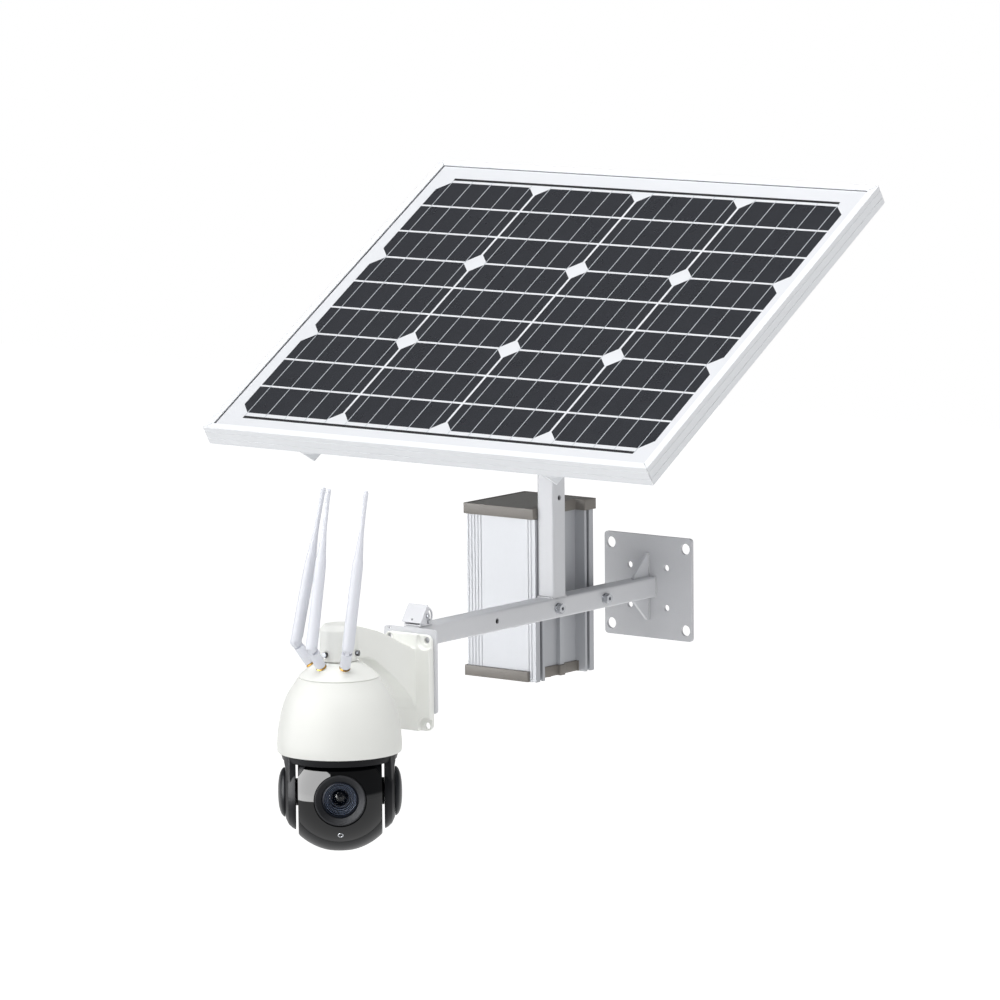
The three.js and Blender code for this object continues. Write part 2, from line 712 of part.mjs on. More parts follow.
// ---------------------------------------------------------------- dome
function buildDome() {
  const dome = groupAt(0, AXIS_Y, 0);
  const cap = lathe(
    [
      [11, 20],
      [14.5, 20],
      [14.5, DOME_TOP_Z],
      [22, DOME_TOP_Z],
      [25, DOME_TOP_Z - 1.2],
      [33, DOME_TOP_Z - 6],
      [41, DOME_TOP_Z - 12],
      [47, SEAM_Z + 0.9],
      [46.6, SEAM_Z],
      [42.5, SEAM_Z],
      [38, DOME_TOP_Z - 14],
      [30, DOME_TOP_Z - 8.5],
      [22, DOME_TOP_Z - 4],
      [11, DOME_TOP_Z - 3],
      [11, 20],
    ].reverse(),
    32,
  );
  const seats = ANTENNAS.map(({ around }) => inSeat(bar("z", 0, 0, 6.6, -3.5, 1.2, 12), around));
  add("dome_cap", joined(cap, ...seats), SHELL, dome);

  const shell = lathe(
    [
      [44.5, SEAM_Z - GAP],
      [47.6, SEAM_Z - GAP],
      [53.5, -37.5],
      [61, -49.5],
      [66.8, -65],
      [71.2, -84],
      [73.4, -104],
      [72.9, DOME_RIM_Z],
      [70.2, DOME_RIM_Z],
      [70.2, -101],
      [68, -84],
      [63.6, -66],
      [57.5, -51],
      [50.5, -39.5],
      [44.5, -32],
      [44.5, SEAM_Z - GAP],
    ].reverse(),
    36,
  );
  add("dome_shell", shell, SHELL, dome);

  // Fixed deck inside the dome: it carries the pan motor and the hub's bearing.
  const deck = prism("z", ring(0, 0, 63.4, 32), -76, -73, [ring(0, 0, 13, 20), ring(42, 0, 4, 12)]);
  add("pan_deck", deck, BLACK, dome);
  const motor = joined(bar("z", 42, 0, 12, -73 + GAP, -55, 18), bar("z", 42, 0, 2, -85.5, -72, 10));
  add("pan_motor", motor, BOLT, dome);
  const pinion = gear(PINION_TEETH, Math.PI / PINION_TEETH).map(([x, y]) => [x + 42, y]);
  add("pan_pinion", prism("z", pinion, -86, -80, [ring(42, 0, 2.4, 10)]), BOLT, dome);
}

// Outline of a spur gear whose teeth are simple trapezoids.
function gear(teeth, turn = 0) {
  const pitch = (teeth * TOOTH) / (2 * Math.PI);
  const points = [];
  for (let i = 0; i < teeth; i += 1) {
    const middle = turn + (i * 2 * Math.PI) / teeth;
    for (const [share, radius] of [[-0.3, pitch - 1.7], [-0.12, pitch + 1.2], [0.12, pitch + 1.2], [0.3, pitch - 1.7]]) {
      const angle = middle + (share * 2 * Math.PI) / teeth;
      points.push([radius * Math.cos(angle), radius * Math.sin(angle)]);
    }
  }
  return points;
}

// ---------------------------------------------------------------- antennas
// Moves a shape from a seat's own frame, +Z out of the cap, to its place around the dome's axis.
function inSeat(geometry, around) {
  return geometry
    .rotateX(THREE.MathUtils.degToRad(ANTENNA.tilt))
    .translate(0, -ANTENNA.seatRadius, ANTENNA.seatZ)
    .rotateZ(THREE.MathUtils.degToRad(around));
}

function buildAntenna({ side, around, lean }) {
  const up = new THREE.Vector3(0, 0, 1);
  const turn = THREE.MathUtils.degToRad(around);
  const seat = new THREE.Vector3(0, -ANTENNA.seatRadius, ANTENNA.seatZ).applyAxisAngle(up, turn);
  const axis = new THREE.Vector3(1, 0, 0);
  const out = up.clone().applyAxisAngle(axis, THREE.MathUtils.degToRad(ANTENNA.tilt)).applyAxisAngle(up, turn);
  const height = Math.sqrt(1 - lean[0] ** 2 - lean[1] ** 2);
  const whipWay = new THREE.Vector3(lean[0], lean[1], height);
  const hinge = out.clone().cross(whipWay).normalize();
  const third = out.clone().cross(hinge);

  const frame = groupAt(seat.x, seat.y + AXIS_Y, seat.z);
  frame.quaternion.setFromRotationMatrix(new THREE.Matrix4().makeBasis(hinge, third, out));

  const nut = prism("z", ring(0, 0, 5.6, 12), 1.5, 7, [ring(0, 0, 2.6, 10)]);
  add("antenna_nut_" + side, nut, GOLD, frame);

  const h = ANTENNA.hinge;
  const tongue = [...arc(0, h, 5.6, 0, 180, 8), [-5.6, 24], [5.6, 24]];
  const knuckle = joined(
    bar("z", 0, 0, 6.3, 7.3, 25.7, 20),
    prism("x", tongue, -2.3, 2.3),
    bar("x", 0, h, 1.7, -6.4, 6.4, 10),
    bar("z", 0, 0, 2.2, 2.5, 8, 10),
  );
  add("antenna_knuckle_" + side, knuckle, WHIP, frame);

  const whipFrame = groupAt(0, 0, h, frame);
  whipFrame.rotation.x = out.angleTo(whipWay);
  const length = ANTENNA.whip;
  const profile = [
    [0, -7],
    [4.9, -5],
    [6.8, -1.6],
    [7.1, 3],
    [6.6, 0.5 * length],
    [4.4, 0.64 * length],
    [2.9, 0.76 * length],
    [2.7, 0.9 * length],
    [2.9, length - 4],
    [2.2, length - 0.6],
    [0, length],
  ];
  const whip = cutFrom(
    solidOf(lathe(profile, 14)),
    box(-2.7, 2.7, -12, 12, -10, 7.2),
    bar("x", 0, 0, 2.05, -10, 10, 10),
  );
  add("antenna_whip_" + side, whip, WHIP, whipFrame);
}

// ---------------------------------------------------------------- pan and tilt head
// The head is modelled looking along -Y, with the tilt axis along X through the group's origin.
const fromTiltAxis = (z) => z - TILT_Z;

// Round shapes about the tilt axis or about the lens axis, made about Z and then turned.
const aboutX = (geometry) => geometry.rotateY(Math.PI / 2);
const aboutY = (geometry) => geometry.rotateX(Math.PI / 2);

function buildYoke(head) {
  const up = fromTiltAxis;
  const disc = bar("z", 0, 0, 58, up(-92), up(-88), 32);
  const hub = bar("z", 0, 0, 12, up(-89), up(-64), 20);
  const skirt = lathe(
    [[64, up(-125)], [67, up(-125)], [69, up(-117)], [69, up(-112)], [64, up(-112)], [64, up(-125)]],
    32,
  );
  const inside = solidOf(lathe([[0, -60], [69, -60], [69, up(-104)], [66, up(-87)], [0, up(-87)]], 32));
  // An arm is a round boss that thins outwards, with a block above it that reaches up to the disc.
  const boss = [[0, YOKE_INNER], [44.3, YOKE_INNER], [42.6, 55.5], [38, 60.5], [30.5, 64], [0, 64]];
  const block = [[36, up(-88)], [-36, up(-88)], [-42, 14], [42, 14]];
  let yoke = joined(disc, hub, skirt);
  for (const way of [1, -1]) {
    const [low, high] = way > 0 ? [YOKE_INNER, 62.5] : [-62.5, -YOKE_INNER];
    const arm = aboutX(lathe(boss, 36));
    yoke = yoke.add(solidOf(way > 0 ? arm : arm.rotateZ(Math.PI)));
    yoke = yoke.add(solidOf(prism("x", block, low, high)).intersect(inside));
  }
  add("pan_yoke", cutFrom(yoke, bar("x", 0, 0, 10, -100, 100, 24)), BLACK, head);

  const gearTeeth = gear(PAN_GEAR_TEETH, -HEAD_TURN);
  add("pan_gear", prism("z", gearTeeth, up(-86), up(-80), [ring(0, 0, 12.4, 20)]), BOLT, head);

  for (const [name, way] of [["ear_cover_right", 1], ["ear_cover_left", -1]]) {
    const profile = [[0, 64.3], [29, 64.3], [28.8, 66], [25.5, 69], [19, 71.2], [10, 72.4], [0, 72.8]];
    const cover = aboutX(lathe(profile, 24));
    add(name, way > 0 ? cover : cover.rotateZ(Math.PI), BLACK, head);
  }
}

// Front view of the window, [x, z] from the lens axis: chamfered top corners, round bottom.
function windowOutline(grow) {
  const edge = BALL_HALF_WIDTH + 1;
  return [
    [edge, 24 + grow],
    [36 + grow, 42 + grow],
    [33 + grow, 48 + grow],
    [-33 - grow, 48 + grow],
    [-36 - grow, 42 + grow],
    [-edge, 24 + grow],
    ...arc(0, 9, 60 + grow, 215, 325, 10),
  ];
}

function buildBall(head) {
  const ball = solidOf(new THREE.SphereGeometry(BALL_RADIUS, 32, 20));
  const inside = solidOf(new THREE.SphereGeometry(SHELL_INSIDE, 20, 12));
  const w = BALL_HALF_WIDTH;
  const slab = solidOf(box(-w, w, -90, 90, BALL_BOTTOM, 90));
  const room = solidOf(box(-w + 2.8, w - 2.8, -90, 90, BALL_BOTTOM + 3, 90));
  const rest = solidOf(new THREE.SphereGeometry(SHELL_INSIDE - GAP, 20, 12));
  const opening = solidOf(prism("y", windowOutline(GAP), -90, -20)).subtract(rest);
  const hubs = joined(
    bar("x", 0, 0, HUB_RADIUS, w - 1, YOKE_INNER - GAP, 28),
    bar("x", 0, 0, HUB_RADIUS, -YOKE_INNER + GAP, -w + 1, 28),
  );
  const shell = ball.intersect(slab).subtract(inside.intersect(room)).add(hubs).subtract(opening);
  add("ball_shell", cutFrom(shell, bar("x", 0, 0, 10, -w - 9, w + 9, 24)), BLACK, head);

  const behind = solidOf(new THREE.SphereGeometry(SHELL_INSIDE + GAP, 20, 12));
  const pane = ball
    .intersect(solidOf(prism("y", windowOutline(0), -90, -20)))
    .intersect(solidOf(box(-w, w, -90, -20, -90, 90)))
    .subtract(behind);
  add("front_window", cutFrom(pane, bar("y", 0, 0, BEZEL_RADIUS + 0.6, -90, 0, 32)), GLASS, head);
}

function buildLens(head) {
  const f = -BEZEL_FRONT; // profiles run forwards, along the lens axis
  const bezel = [
    [BARREL_RADIUS + 0.4, f - 18],
    [BEZEL_RADIUS - 3, f - 18],
    [BEZEL_RADIUS - 3, f - 9],
    [BEZEL_RADIUS, f - 9],
    [BEZEL_RADIUS, f - 1],
    [BEZEL_RADIUS - 1, f],
    [BEZEL_RADIUS - 2.4, f],
    [BARREL_RADIUS + 0.4, f - 4.5],
    [BARREL_RADIUS + 0.4, f - 18],
  ];
  add("lens_bezel", aboutY(lathe(bezel, 28)), BLACK, head);
  const barrel = [
    [0, f - 52],
    [15, f - 52],
    [15, f - 30],
    [BARREL_RADIUS, f - 30],
    [BARREL_RADIUS, f - 6],
    [19.3, f - 5],
    [19.3, f - 11],
    [16, f - 11],
    [13, f - 20],
    [9, f - 28],
    [0, f - 28],
  ];
  add("lens_barrel", aboutY(lathe(barrel, 24)), BLACK, head);
  const glass = [[0, f - 10.5], [19, f - 10.5], [19, f - 8.6], [11, f - 6.8], [0, f - 5.9]];
  add("lens_glass", aboutY(lathe(glass, 24)), CLEAR, head);
}

function buildTiltDrive(head) {
  const inner = BALL_HALF_WIDTH - 2.8 - GAP;
  const motor = cutFrom(
    joined(bar("x", 0, 0, 14, 23, inner, 20), bar("x", 0, 0, 9.6, inner - 1, 63.7, 20)),
    bar("x", 0, 0, 4, 50, 70, 12),
  );
  add("tilt_motor", motor, BOLT, head);
  const axle = cutFrom(
    joined(bar("x", 0, 0, 14, -inner, -inner + 3, 20), bar("x", 0, 0, 9.6, -63.7, -inner + 1, 20)),
    bar("x", 0, 0, 6, -70, 0, 12),
  );
  add("tilt_axle", axle, BOLT, head);
}

buildWallPlate();
buildArmAndPost();
buildCameraPlate();
buildSlotBolts();
buildBatteryCase();
buildBatteryCaps();
buildBatteryInsides();
buildPanelSide();
buildAccessoryBracket();
buildCameraBracket();
buildNeckScrews();
buildDome();
for (const antenna of ANTENNAS) buildAntenna(antenna);

const head = groupAt(0, AXIS_Y, TILT_Z);
head.rotation.z = HEAD_TURN;
buildYoke(head);
buildBall(head);
buildLens(head);
buildTiltDrive(head);

export default model;
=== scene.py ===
# A solar-powered security camera on a wall arm: detailed pieces and materials around the CAD part.
# Shapes are written in millimetres, each in its own frame. A piece's mesh stays in millimetres and
# its object scales it to metres, so textures are in millimetres too.
import math

import bmesh
import bpy
from mathutils import Matrix, Vector
from mathutils.geometry import tessellate_polygon
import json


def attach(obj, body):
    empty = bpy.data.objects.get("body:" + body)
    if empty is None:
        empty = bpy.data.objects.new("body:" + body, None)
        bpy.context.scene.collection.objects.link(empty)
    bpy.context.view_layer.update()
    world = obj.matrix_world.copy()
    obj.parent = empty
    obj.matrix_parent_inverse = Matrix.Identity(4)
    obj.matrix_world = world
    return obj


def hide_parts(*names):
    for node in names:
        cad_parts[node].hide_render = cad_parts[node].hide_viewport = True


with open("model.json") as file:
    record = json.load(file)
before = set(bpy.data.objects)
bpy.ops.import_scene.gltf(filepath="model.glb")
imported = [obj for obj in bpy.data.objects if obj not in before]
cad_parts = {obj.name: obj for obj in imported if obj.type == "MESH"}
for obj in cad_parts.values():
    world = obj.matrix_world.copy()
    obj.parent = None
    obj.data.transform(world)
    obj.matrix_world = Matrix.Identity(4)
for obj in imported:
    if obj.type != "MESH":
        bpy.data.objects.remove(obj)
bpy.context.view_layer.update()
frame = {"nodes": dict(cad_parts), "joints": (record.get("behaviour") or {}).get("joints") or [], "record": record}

# ------------------------------------------------------------------ dimensions, in millimetres
MM = 0.001
TUBE = 12.5  # half the side of the square tube
TUBE_WALL = 2
BORE = 3.3  # radius of the bolt holes through the tubes
ARM_END = -477.4
POST_Y = -201.7
POST_TOP = 250
SLOT_YS = (-206.7, -110.7)  # bolts that hold the battery box
SPARE_HOLE_Y = -327
SPARE_HOLE_Z = 135
BOX = {"left": -118, "right": -13, "front": -217.7, "back": -99.7, "recess": -27.5}
BOX_TOP = 107.5
BOX_BOTTOM = -80
CAP_HEIGHT = 13
CAP_OVERHANG = 3.2
COLUMN_BACK = -23  # where the lower cap ends behind each column
GLAND_X = -72
GLAND_YS = (-148, -118)

PANEL_TILT = math.radians(31.4)
PANEL_UP = 88  # tilt pivot to the panel's top face
PANEL_BACK = 29  # tilt pivot to the panel's middle
PANEL_SIZE = (668, 556)
SHEET_TOP = -1.9
SHEET_LOW = -6.1
COLUMN_EDGES = (-305, -150, 6.4, 161, 313)
STRIP_EDGES = (-234.6, -185.5, -131.7, -78, -26.7, 27.4, 81.3, 134.3, 188.5, 240.9)
STRIPS_PER_CELL = 3
CELL_GAP = 3.2
CELL_CHAMFER = 15
BUSBARS = (0.1, 0.3, 0.5, 0.7, 0.9)
RIBBON_VS = (-241.5, 249.5)

AXIS_Y = -615.2  # pan axis
TILT_Z = -164.8
SEAM_Z = -28.4
BALL = 70
BALL_SIDE = 49
BALL_FLAT = -66.7
BALL_INSIDE = 66.5
GLOBE_STEPS = 80
LENS_FRONT = 62
LENS_RINGS = ((18.4, 11), (16.9, 12.6), (15.1, 13), (13.4, 15.1), (11.3, 19.1))  # radius, depth
LED_DROP = 42
ANTENNA_LEANS = {"left": (0.146, 0.117), "middle": (0, 0.19), "right": (0.098, 0.079)}
HINGE_UP = 33
WHIP = 186
WHIP_TAPER = ((6.6, 0.5), (5.4, 0.575), (4.4, 0.64), (3.4, 0.7), (2.9, 0.76), (2.7, 0.9))

# ------------------------------------------------------------------ frames
JOINTS = {j["name"]: j for j in frame["joints"]}
SCALE = Matrix.Scale(MM, 4)


def joint_point(name):
    return Vector(JOINTS[name]["pos_m"])


def joint_axis(name):
    return Vector(JOINTS[name]["axis"])


def frame_of(x_axis, y_axis, z_axis, origin):
    """A frame from its axes and its origin in metres, for contents in millimetres."""
    turn = Matrix((x_axis, y_axis, z_axis)).transposed().to_4x4()
    return Matrix.Translation(origin) @ turn @ SCALE


def antenna_frames(side):
    out = joint_axis("antenna_swivel_" + side).normalized()
    hinge = joint_axis("antenna_fold_" + side).normalized()
    hinge_point = joint_point("antenna_fold_" + side)
    seat = frame_of(hinge, out.cross(hinge), out, hinge_point - out * HINGE_UP * MM)
    lean = ANTENNA_LEANS[side]
    up = Vector((lean[0], lean[1], math.sqrt(1 - lean[0] ** 2 - lean[1] ** 2)))
    whip = frame_of(hinge, up.cross(hinge), up, hinge_point)
    return seat, whip


WORLD = SCALE.copy()
PANEL = Matrix.Translation(joint_point("panel_tilt")) @ Matrix.Rotation(PANEL_TILT, 4, "X") @ SCALE
head_axis = joint_axis("camera_tilt")
HEAD_TURN = Matrix.Rotation(math.atan2(head_axis.y, head_axis.x), 4, "Z")
HEAD = Matrix.Translation(joint_point("camera_tilt")) @ HEAD_TURN @ SCALE
DOME = Matrix.Translation(Vector((0, AXIS_Y * MM, 0))) @ SCALE
BODIES = frame["record"]["behaviour"]["bodies"]
BODY_OF = {node: body for body, nodes in BODIES.items() for node in nodes}

# ------------------------------------------------------------------ materials
BROAD_PATCH = 45  # size of the soft patches of colour and gloss
SPECKLE_SHARE = 0.45  # how much of the colour change is fine grain
GLOSS_CHANGE = 0.05
FINGER_SCALE = 0.32  # sets how close together the fine fingers of a solar cell are
LOOKS = {}


def hex_colour(code):
    """A screen colour, such as "c0c1c3", as linear red, green, blue and alpha."""
    parts = [int(code[i : i + 2], 16) / 255 for i in (0, 2, 4)]
    linear = [c / 12.92 if c <= 0.04045 else ((c + 0.055) / 1.055) ** 2.4 for c in parts]
    return (*linear, 1.0)


def shaded(colour, factor):
    return (*[min(1.0, c * factor) for c in colour[:3]], 1.0)


class Graph:
    """A small helper that wires shader nodes."""

    def __init__(self, name):
        self.material = bpy.data.materials.new(name)
        self.material.use_nodes = True
        self.nodes = self.material.node_tree.nodes
        self.links = self.material.node_tree.links
        self.shader = self.nodes["Principled BSDF"]
        self.place = self.nodes.new("ShaderNodeTexCoord").outputs["Object"]

    def node(self, kind, inputs=None, **settings):
        made = self.nodes.new("ShaderNode" + kind)
        for key, value in settings.items():
            setattr(made, key, value)
        for key, value in (inputs or {}).items():
            if isinstance(value, bpy.types.NodeSocket):
                self.links.new(value, made.inputs[key])
            else:
                made.inputs[key].default_value = value
        return made

    def scaled(self, scale):
        return self.node("Mapping", {"Vector": self.place, "Scale": scale}).outputs["Vector"]

    def noise(self, size, stretch=(1, 1, 1), detail=3.0, rough=0.5):
        """Noise whose features are about size millimetres, longer where stretch is above 1."""
        scale = tuple(1 / (size * s) for s in stretch)
        inputs = {"Vector": self.scaled(scale), "Scale": 1.0, "Detail": detail, "Roughness": rough}
        return self.node("TexNoise", inputs).outputs["Fac"]

    def ranged(self, value, low, high, start=0.3, stop=0.7):
        inputs = {"Value": value, "From Min": start, "From Max": stop, "To Min": low, "To Max": high}
        return self.node("MapRange", inputs).outputs["Result"]

    def mixed(self, factor, a, b):
        mix = self.node("Mix", {"Factor": factor}, data_type="RGBA")
        for socket, value in ((mix.inputs["A"], a), (mix.inputs["B"], b)):
            colour = [s for s in mix.inputs if s.name == socket.name and s.type == "RGBA"][0]
            if isinstance(value, bpy.types.NodeSocket):
                self.links.new(value, colour)
            else:
                colour.default_value = value
        return [s for s in mix.outputs if s.type == "RGBA"][0]

    def set(self, **values):
        for key, value in values.items():
            socket = self.shader.inputs[key.replace("_", " ")]
            if isinstance(value, bpy.types.NodeSocket):
                self.links.new(value, socket)
            else:
                socket.default_value = value

    def bump(self, height, distance, strength=1.0):
        inputs = {"Height": height, "Distance": distance * MM, "Strength": strength}
        normal = self.node("Bump", inputs).outputs["Normal"]
        self.links.new(normal, self.shader.inputs["Normal"])


def finish(name, slot, colour, rough, metal=0.0, **detail):
    """A surface with a fine grain in its relief, and broad soft changes in its colour and gloss."""
    grain, depth = detail.get("grain", 0.6), detail.get("depth", 0.02)
    stretch, vary = detail.get("stretch", (1, 1, 1)), detail.get("vary", 0.03)
    graph = Graph(name)
    base = hex_colour(colour)
    broad = graph.noise(BROAD_PATCH, detail=4.0, rough=0.6)
    fine = graph.noise(grain, stretch, detail=2.0)
    tint = graph.mixed(graph.ranged(broad, 0, 1), shaded(base, 1 - vary), shaded(base, 1 + vary))
    speckle = graph.mixed(graph.ranged(fine, 0, 1), shaded(base, 1 - vary), shaded(base, 1 + vary))
    graph.set(Base_Color=graph.mixed(SPECKLE_SHARE, tint, speckle))
    graph.set(Roughness=graph.ranged(broad, rough - GLOSS_CHANGE, rough + GLOSS_CHANGE))
    graph.set(Metallic=metal, Specular_IOR_Level=detail.get("shine", 0.2))
    graph.set(Coat_Weight=detail.get("coat", 0.0), Coat_Roughness=0.08)
    graph.bump(fine, depth)
    LOOKS[name] = graph.material
    return graph


def simple_finishes():
    cast = {"grain": 0.7, "depth": 0.03, "vary": 0.015, "shine": 0.07}
    inner_lens = {"grain": 5.0, "depth": 0.001, "vary": 0.1}
    along = {"grain": 0.25, "depth": 0.006, "stretch": (1, 1, 60)}
    extruded = {"grain": 0.5, "depth": 0.001, "stretch": (60, 60, 1), "vary": 0.006}
    finish("grey_paint", "light_steel", "cfd0d3", 0.42, 0.02, grain=0.9, depth=0.03, shine=0.12)
    finish("plate_paint", "light_steel", "cccdd0", 0.5, 0.0, grain=0.9, depth=0.03)
    finish("weld_metal", "light_steel", "c2c3c5", 0.4, 0.05, grain=1.6, depth=0.12, vary=0.08)
    finish("white_paint", "pale_steel", "d6d7db", 0.45, 0.0, grain=0.8, depth=0.02, shine=0.07)
    finish("zinc", "bolt_steel", "b4b6ba", 0.28, 1.0, grain=0.35, depth=0.008, vary=0.06)
    finish("dark_chrome", "bolt_steel", "55575a", 0.3, 1.0, grain=0.35, depth=0.005, vary=0.05)
    finish("anodised", "anodised_aluminium", "b2b4b8", 0.36, 0.06, **along)
    finish("frame_metal", "anodised_aluminium", "e2e4e7", 0.42, 0.0, shine=0.06, **extruded)
    finish("taupe", "taupe_plastic", "7b7772", 0.5, grain=0.55, depth=0.05, vary=0.05)
    finish("taupe_tray", "taupe_plastic", "85837f", 0.55, grain=0.45, depth=0.07, vary=0.06)
    finish("wrap", "battery_wrap", "2c4f8f", 0.35, grain=3.0, depth=0.03)
    finish("board", "circuit_board", "1f5b3a", 0.4, grain=2.0, depth=0.05, vary=0.15)
    finish("cast_white", "cast_white", "e4e5e1", 0.42, **cast)
    # A brighter copy of cast_white: painted light that makes the bracket, dome cap and antenna seats look more
    # strongly lit.
    finish("cast_white_painted_lit", "cast_white", "eeefeb", 0.42, **cast)
    finish("black_shell", "black_plastic", "0f1013", 0.36, grain=0.45, depth=0.02, vary=0.08, shine=0.13)
    finish("black_matt", "black_plastic", "1c1d20", 0.55, grain=0.4, depth=0.03, vary=0.08)
    finish("cover_black", "black_plastic", "1b1d20", 0.32, grain=0.45, depth=0.015, vary=0.06, shine=0.1)
    # Black with a blue tint: the blue is the coated glass's reflection painted onto the barrel.
    finish("lens_black_painted_blue", "black_plastic", "0c121e", 0.4, **inner_lens)
    # A light blue grey on the lens rings: painted reflection of the coated glass, on rings of black plastic.
    finish("ring_painted_reflection", "black_plastic", "7c8ba6", 0.5, shine=0.3, **inner_lens)
    finish("gold", "gold_brass", "94733a", 0.3, 1.0, grain=0.3, depth=0.006, vary=0.07)
    finish("whip_white", "antenna_white", "dadce3", 0.42, grain=0.5, depth=0.015, vary=0.012, shine=0.1)
    finish("window_black", "dark_window", "050608", 0.04, grain=30, depth=0.002, vary=0.2, shine=0.4)
    finish("sheet_white", "solar_cells", "dcdee2", 0.35, grain=2.0, depth=0.004, vary=0.01, coat=1.0)
    finish("busbar", "solar_cells", "c3c8ce", 0.35, 0.4, grain=1.5, depth=0.01, stretch=(1, 8, 1), coat=1.0)
    finish("ribbon", "solar_cells", "15161a", 0.4, grain=1.5, depth=0.01, vary=0.1, coat=1.0)
    # The seal's dark colour also paints the frame lip's shadow on the panel's left side.
    finish("seal_and_lip_shadow", "black_plastic", "3c3d40", 0.6, grain=1.0, depth=0.03, vary=0.1)


def cell_finish():
    """Dark silicon with its fine silver fingers, under glass."""
    graph = finish("cell", "solar_cells", "14171f", 0.3, grain=6.0, depth=0.002, vary=0.05, coat=1.0)
    wave = graph.node("TexWave", {"Vector": graph.place, "Scale": FINGER_SCALE}, bands_direction="Y")
    finger = graph.ranged(wave.outputs["Fac"], 0, 0.18, 0.93, 0.99)
    plain = graph.shader.inputs["Base Color"].links[0].from_socket
    graph.set(Base_Color=graph.mixed(finger, plain, hex_colour("8a8f99")))


def glass_finish():
    """Clear lens glass with a faint dark blue coating that changes a little across it."""
    graph = Graph("coated_glass")
    cast = graph.ranged(graph.noise(9, detail=2.0), 0, 1)
    graph.set(Base_Color=graph.mixed(cast, hex_colour("0b1424"), hex_colour("1b2740")))
    graph.set(Roughness=0.03, Alpha=0.04)
    LOOKS["coated_glass"] = graph.material


simple_finishes()
cell_finish()
glass_finish()


# ------------------------------------------------------------------ shapes
def circle(x, y, radius, sides=48, start=0.0):
    angles = [start + 2 * math.pi * i / sides for i in range(sides)]
    return [(x + radius * math.cos(a), y + radius * math.sin(a)) for a in angles]


def arc(x, y, radius, start, stop, steps):
    """Points of an arc between two angles in degrees."""
    angles = [math.radians(start + (stop - start) * i / steps) for i in range(steps + 1)]
    return [(x + radius * math.cos(a), y + radius * math.sin(a)) for a in angles]


def rectangle(x0, x1, y0, y1):
    return [(x0, y0), (x1, y0), (x1, y1), (x0, y1)]


def softened(points, radius, steps=4, closed=True):
    """The same line with each corner replaced by a small curve."""
    count = len(points)
    line = []
    for i, corner in enumerate(points):
        if not closed and i in (0, count - 1):
            line.append(tuple(corner))
            continue
        here = Vector(corner)
        before = Vector(points[i - 1]) - here
        after = Vector(points[(i + 1) % count]) - here
        reach = min(radius, before.length * 0.45, after.length * 0.45)
        first = here + before.normalized() * reach
        last = here + after.normalized() * reach
        for k in range(steps + 1):
            t = k / steps
            spot = first * (1 - t) ** 2 + here * 2 * t * (1 - t) + last * t**2
            line.append(tuple(spot))
    return line


def flowing(points, steps=6):
    """A smooth open line through the points."""
    spots = [Vector(p) for p in points]
    padded = [2 * spots[0] - spots[1], *spots, 2 * spots[-1] - spots[-2]]
    line = []
    for a, b, c, d in zip(padded, padded[1:], padded[2:], padded[3:]):
        for k in range(steps):
            t = k / steps
            spot = 2 * b + (c - a) * t
            spot += (2 * a - 5 * b + 4 * c - d) * t**2
            spot += (3 * b - a - 3 * c + d) * t**3
            line.append(tuple(spot / 2))
    return [*line, tuple(spots[-1])]


def to_mesh(bm):
    bmesh.ops.recalc_face_normals(bm, faces=bm.faces)
    mesh = bpy.data.meshes.new("shape")
    bm.to_mesh(mesh)
    bm.free()
    return mesh


PRISM_AXES = {
    "z": lambda a, b, h: (a, b, h),
    "y": lambda a, b, h: (a, h, b),
    "x": lambda a, b, h: (h, a, b),
}
LATHE_AXES = {
    "z": lambda x, y, h: (x, y, h),
    "y": lambda x, y, h: (y, -h, x),
    "x": lambda x, y, h: (h, x, y),
}


def prism(outline, low, high, axis="z", holes=()):
    """An outline with holes, pushed from low to high along an axis."""
    place = PRISM_AXES[axis]
    loops = [outline, *holes]
    flat = [point for loop in loops for point in loop]
    triangles = tessellate_polygon([[Vector((a, b, 0)) for a, b in loop] for loop in loops])
    bm = bmesh.new()
    layers = [[bm.verts.new(place(a, b, h)) for a, b in flat] for h in (low, high)]
    for layer in layers:
        for triangle in triangles:
            bm.faces.new([layer[i] for i in triangle])
    start = 0
    for loop in loops:
        size = len(loop)
        for i in range(size):
            j = start + (i + 1) % size
            k = start + i
            bm.faces.new([layers[0][k], layers[0][j], layers[1][j], layers[1][k]])
        start += size
    bmesh.ops.dissolve_limit(bm, angle_limit=0.005, verts=bm.verts, edges=bm.edges)
    return to_mesh(bm)


def lathe(profile, sides=96, axis="z", wobble=None):
    """A line of (radius, height) points turned about an axis, closed on itself or on the axis.

    On the y axis, heights count towards the front, which is -y.
    """
    place = LATHE_AXES[axis]
    bm = bmesh.new()
    rings = []
    for radius, height in profile:
        if radius < 1e-6:
            rings.append([bm.verts.new(place(0, 0, height))])
            continue
        ring = []
        for i in range(sides):
            angle = 2 * math.pi * i / sides
            reach = radius + (wobble(i, height) if wobble else 0)
            spot = place(reach * math.cos(angle), reach * math.sin(angle), height)
            ring.append(bm.verts.new(spot))
        rings.append(ring)
    pairs = list(zip(rings, rings[1:]))
    if profile[0][0] > 1e-6:
        pairs.append((rings[-1], rings[0]))
    for a, b in pairs:
        for i in range(sides):
            j = (i + 1) % sides
            corners = [a[i % len(a)], a[j % len(a)], b[j % len(b)], b[i % len(b)]]
            unique = list(dict.fromkeys(corners))
            if len(unique) > 2:
                bm.faces.new(unique)
    return to_mesh(bm)


RIPPLE_PITCH = 2.4
RIPPLE_STEPS = 5


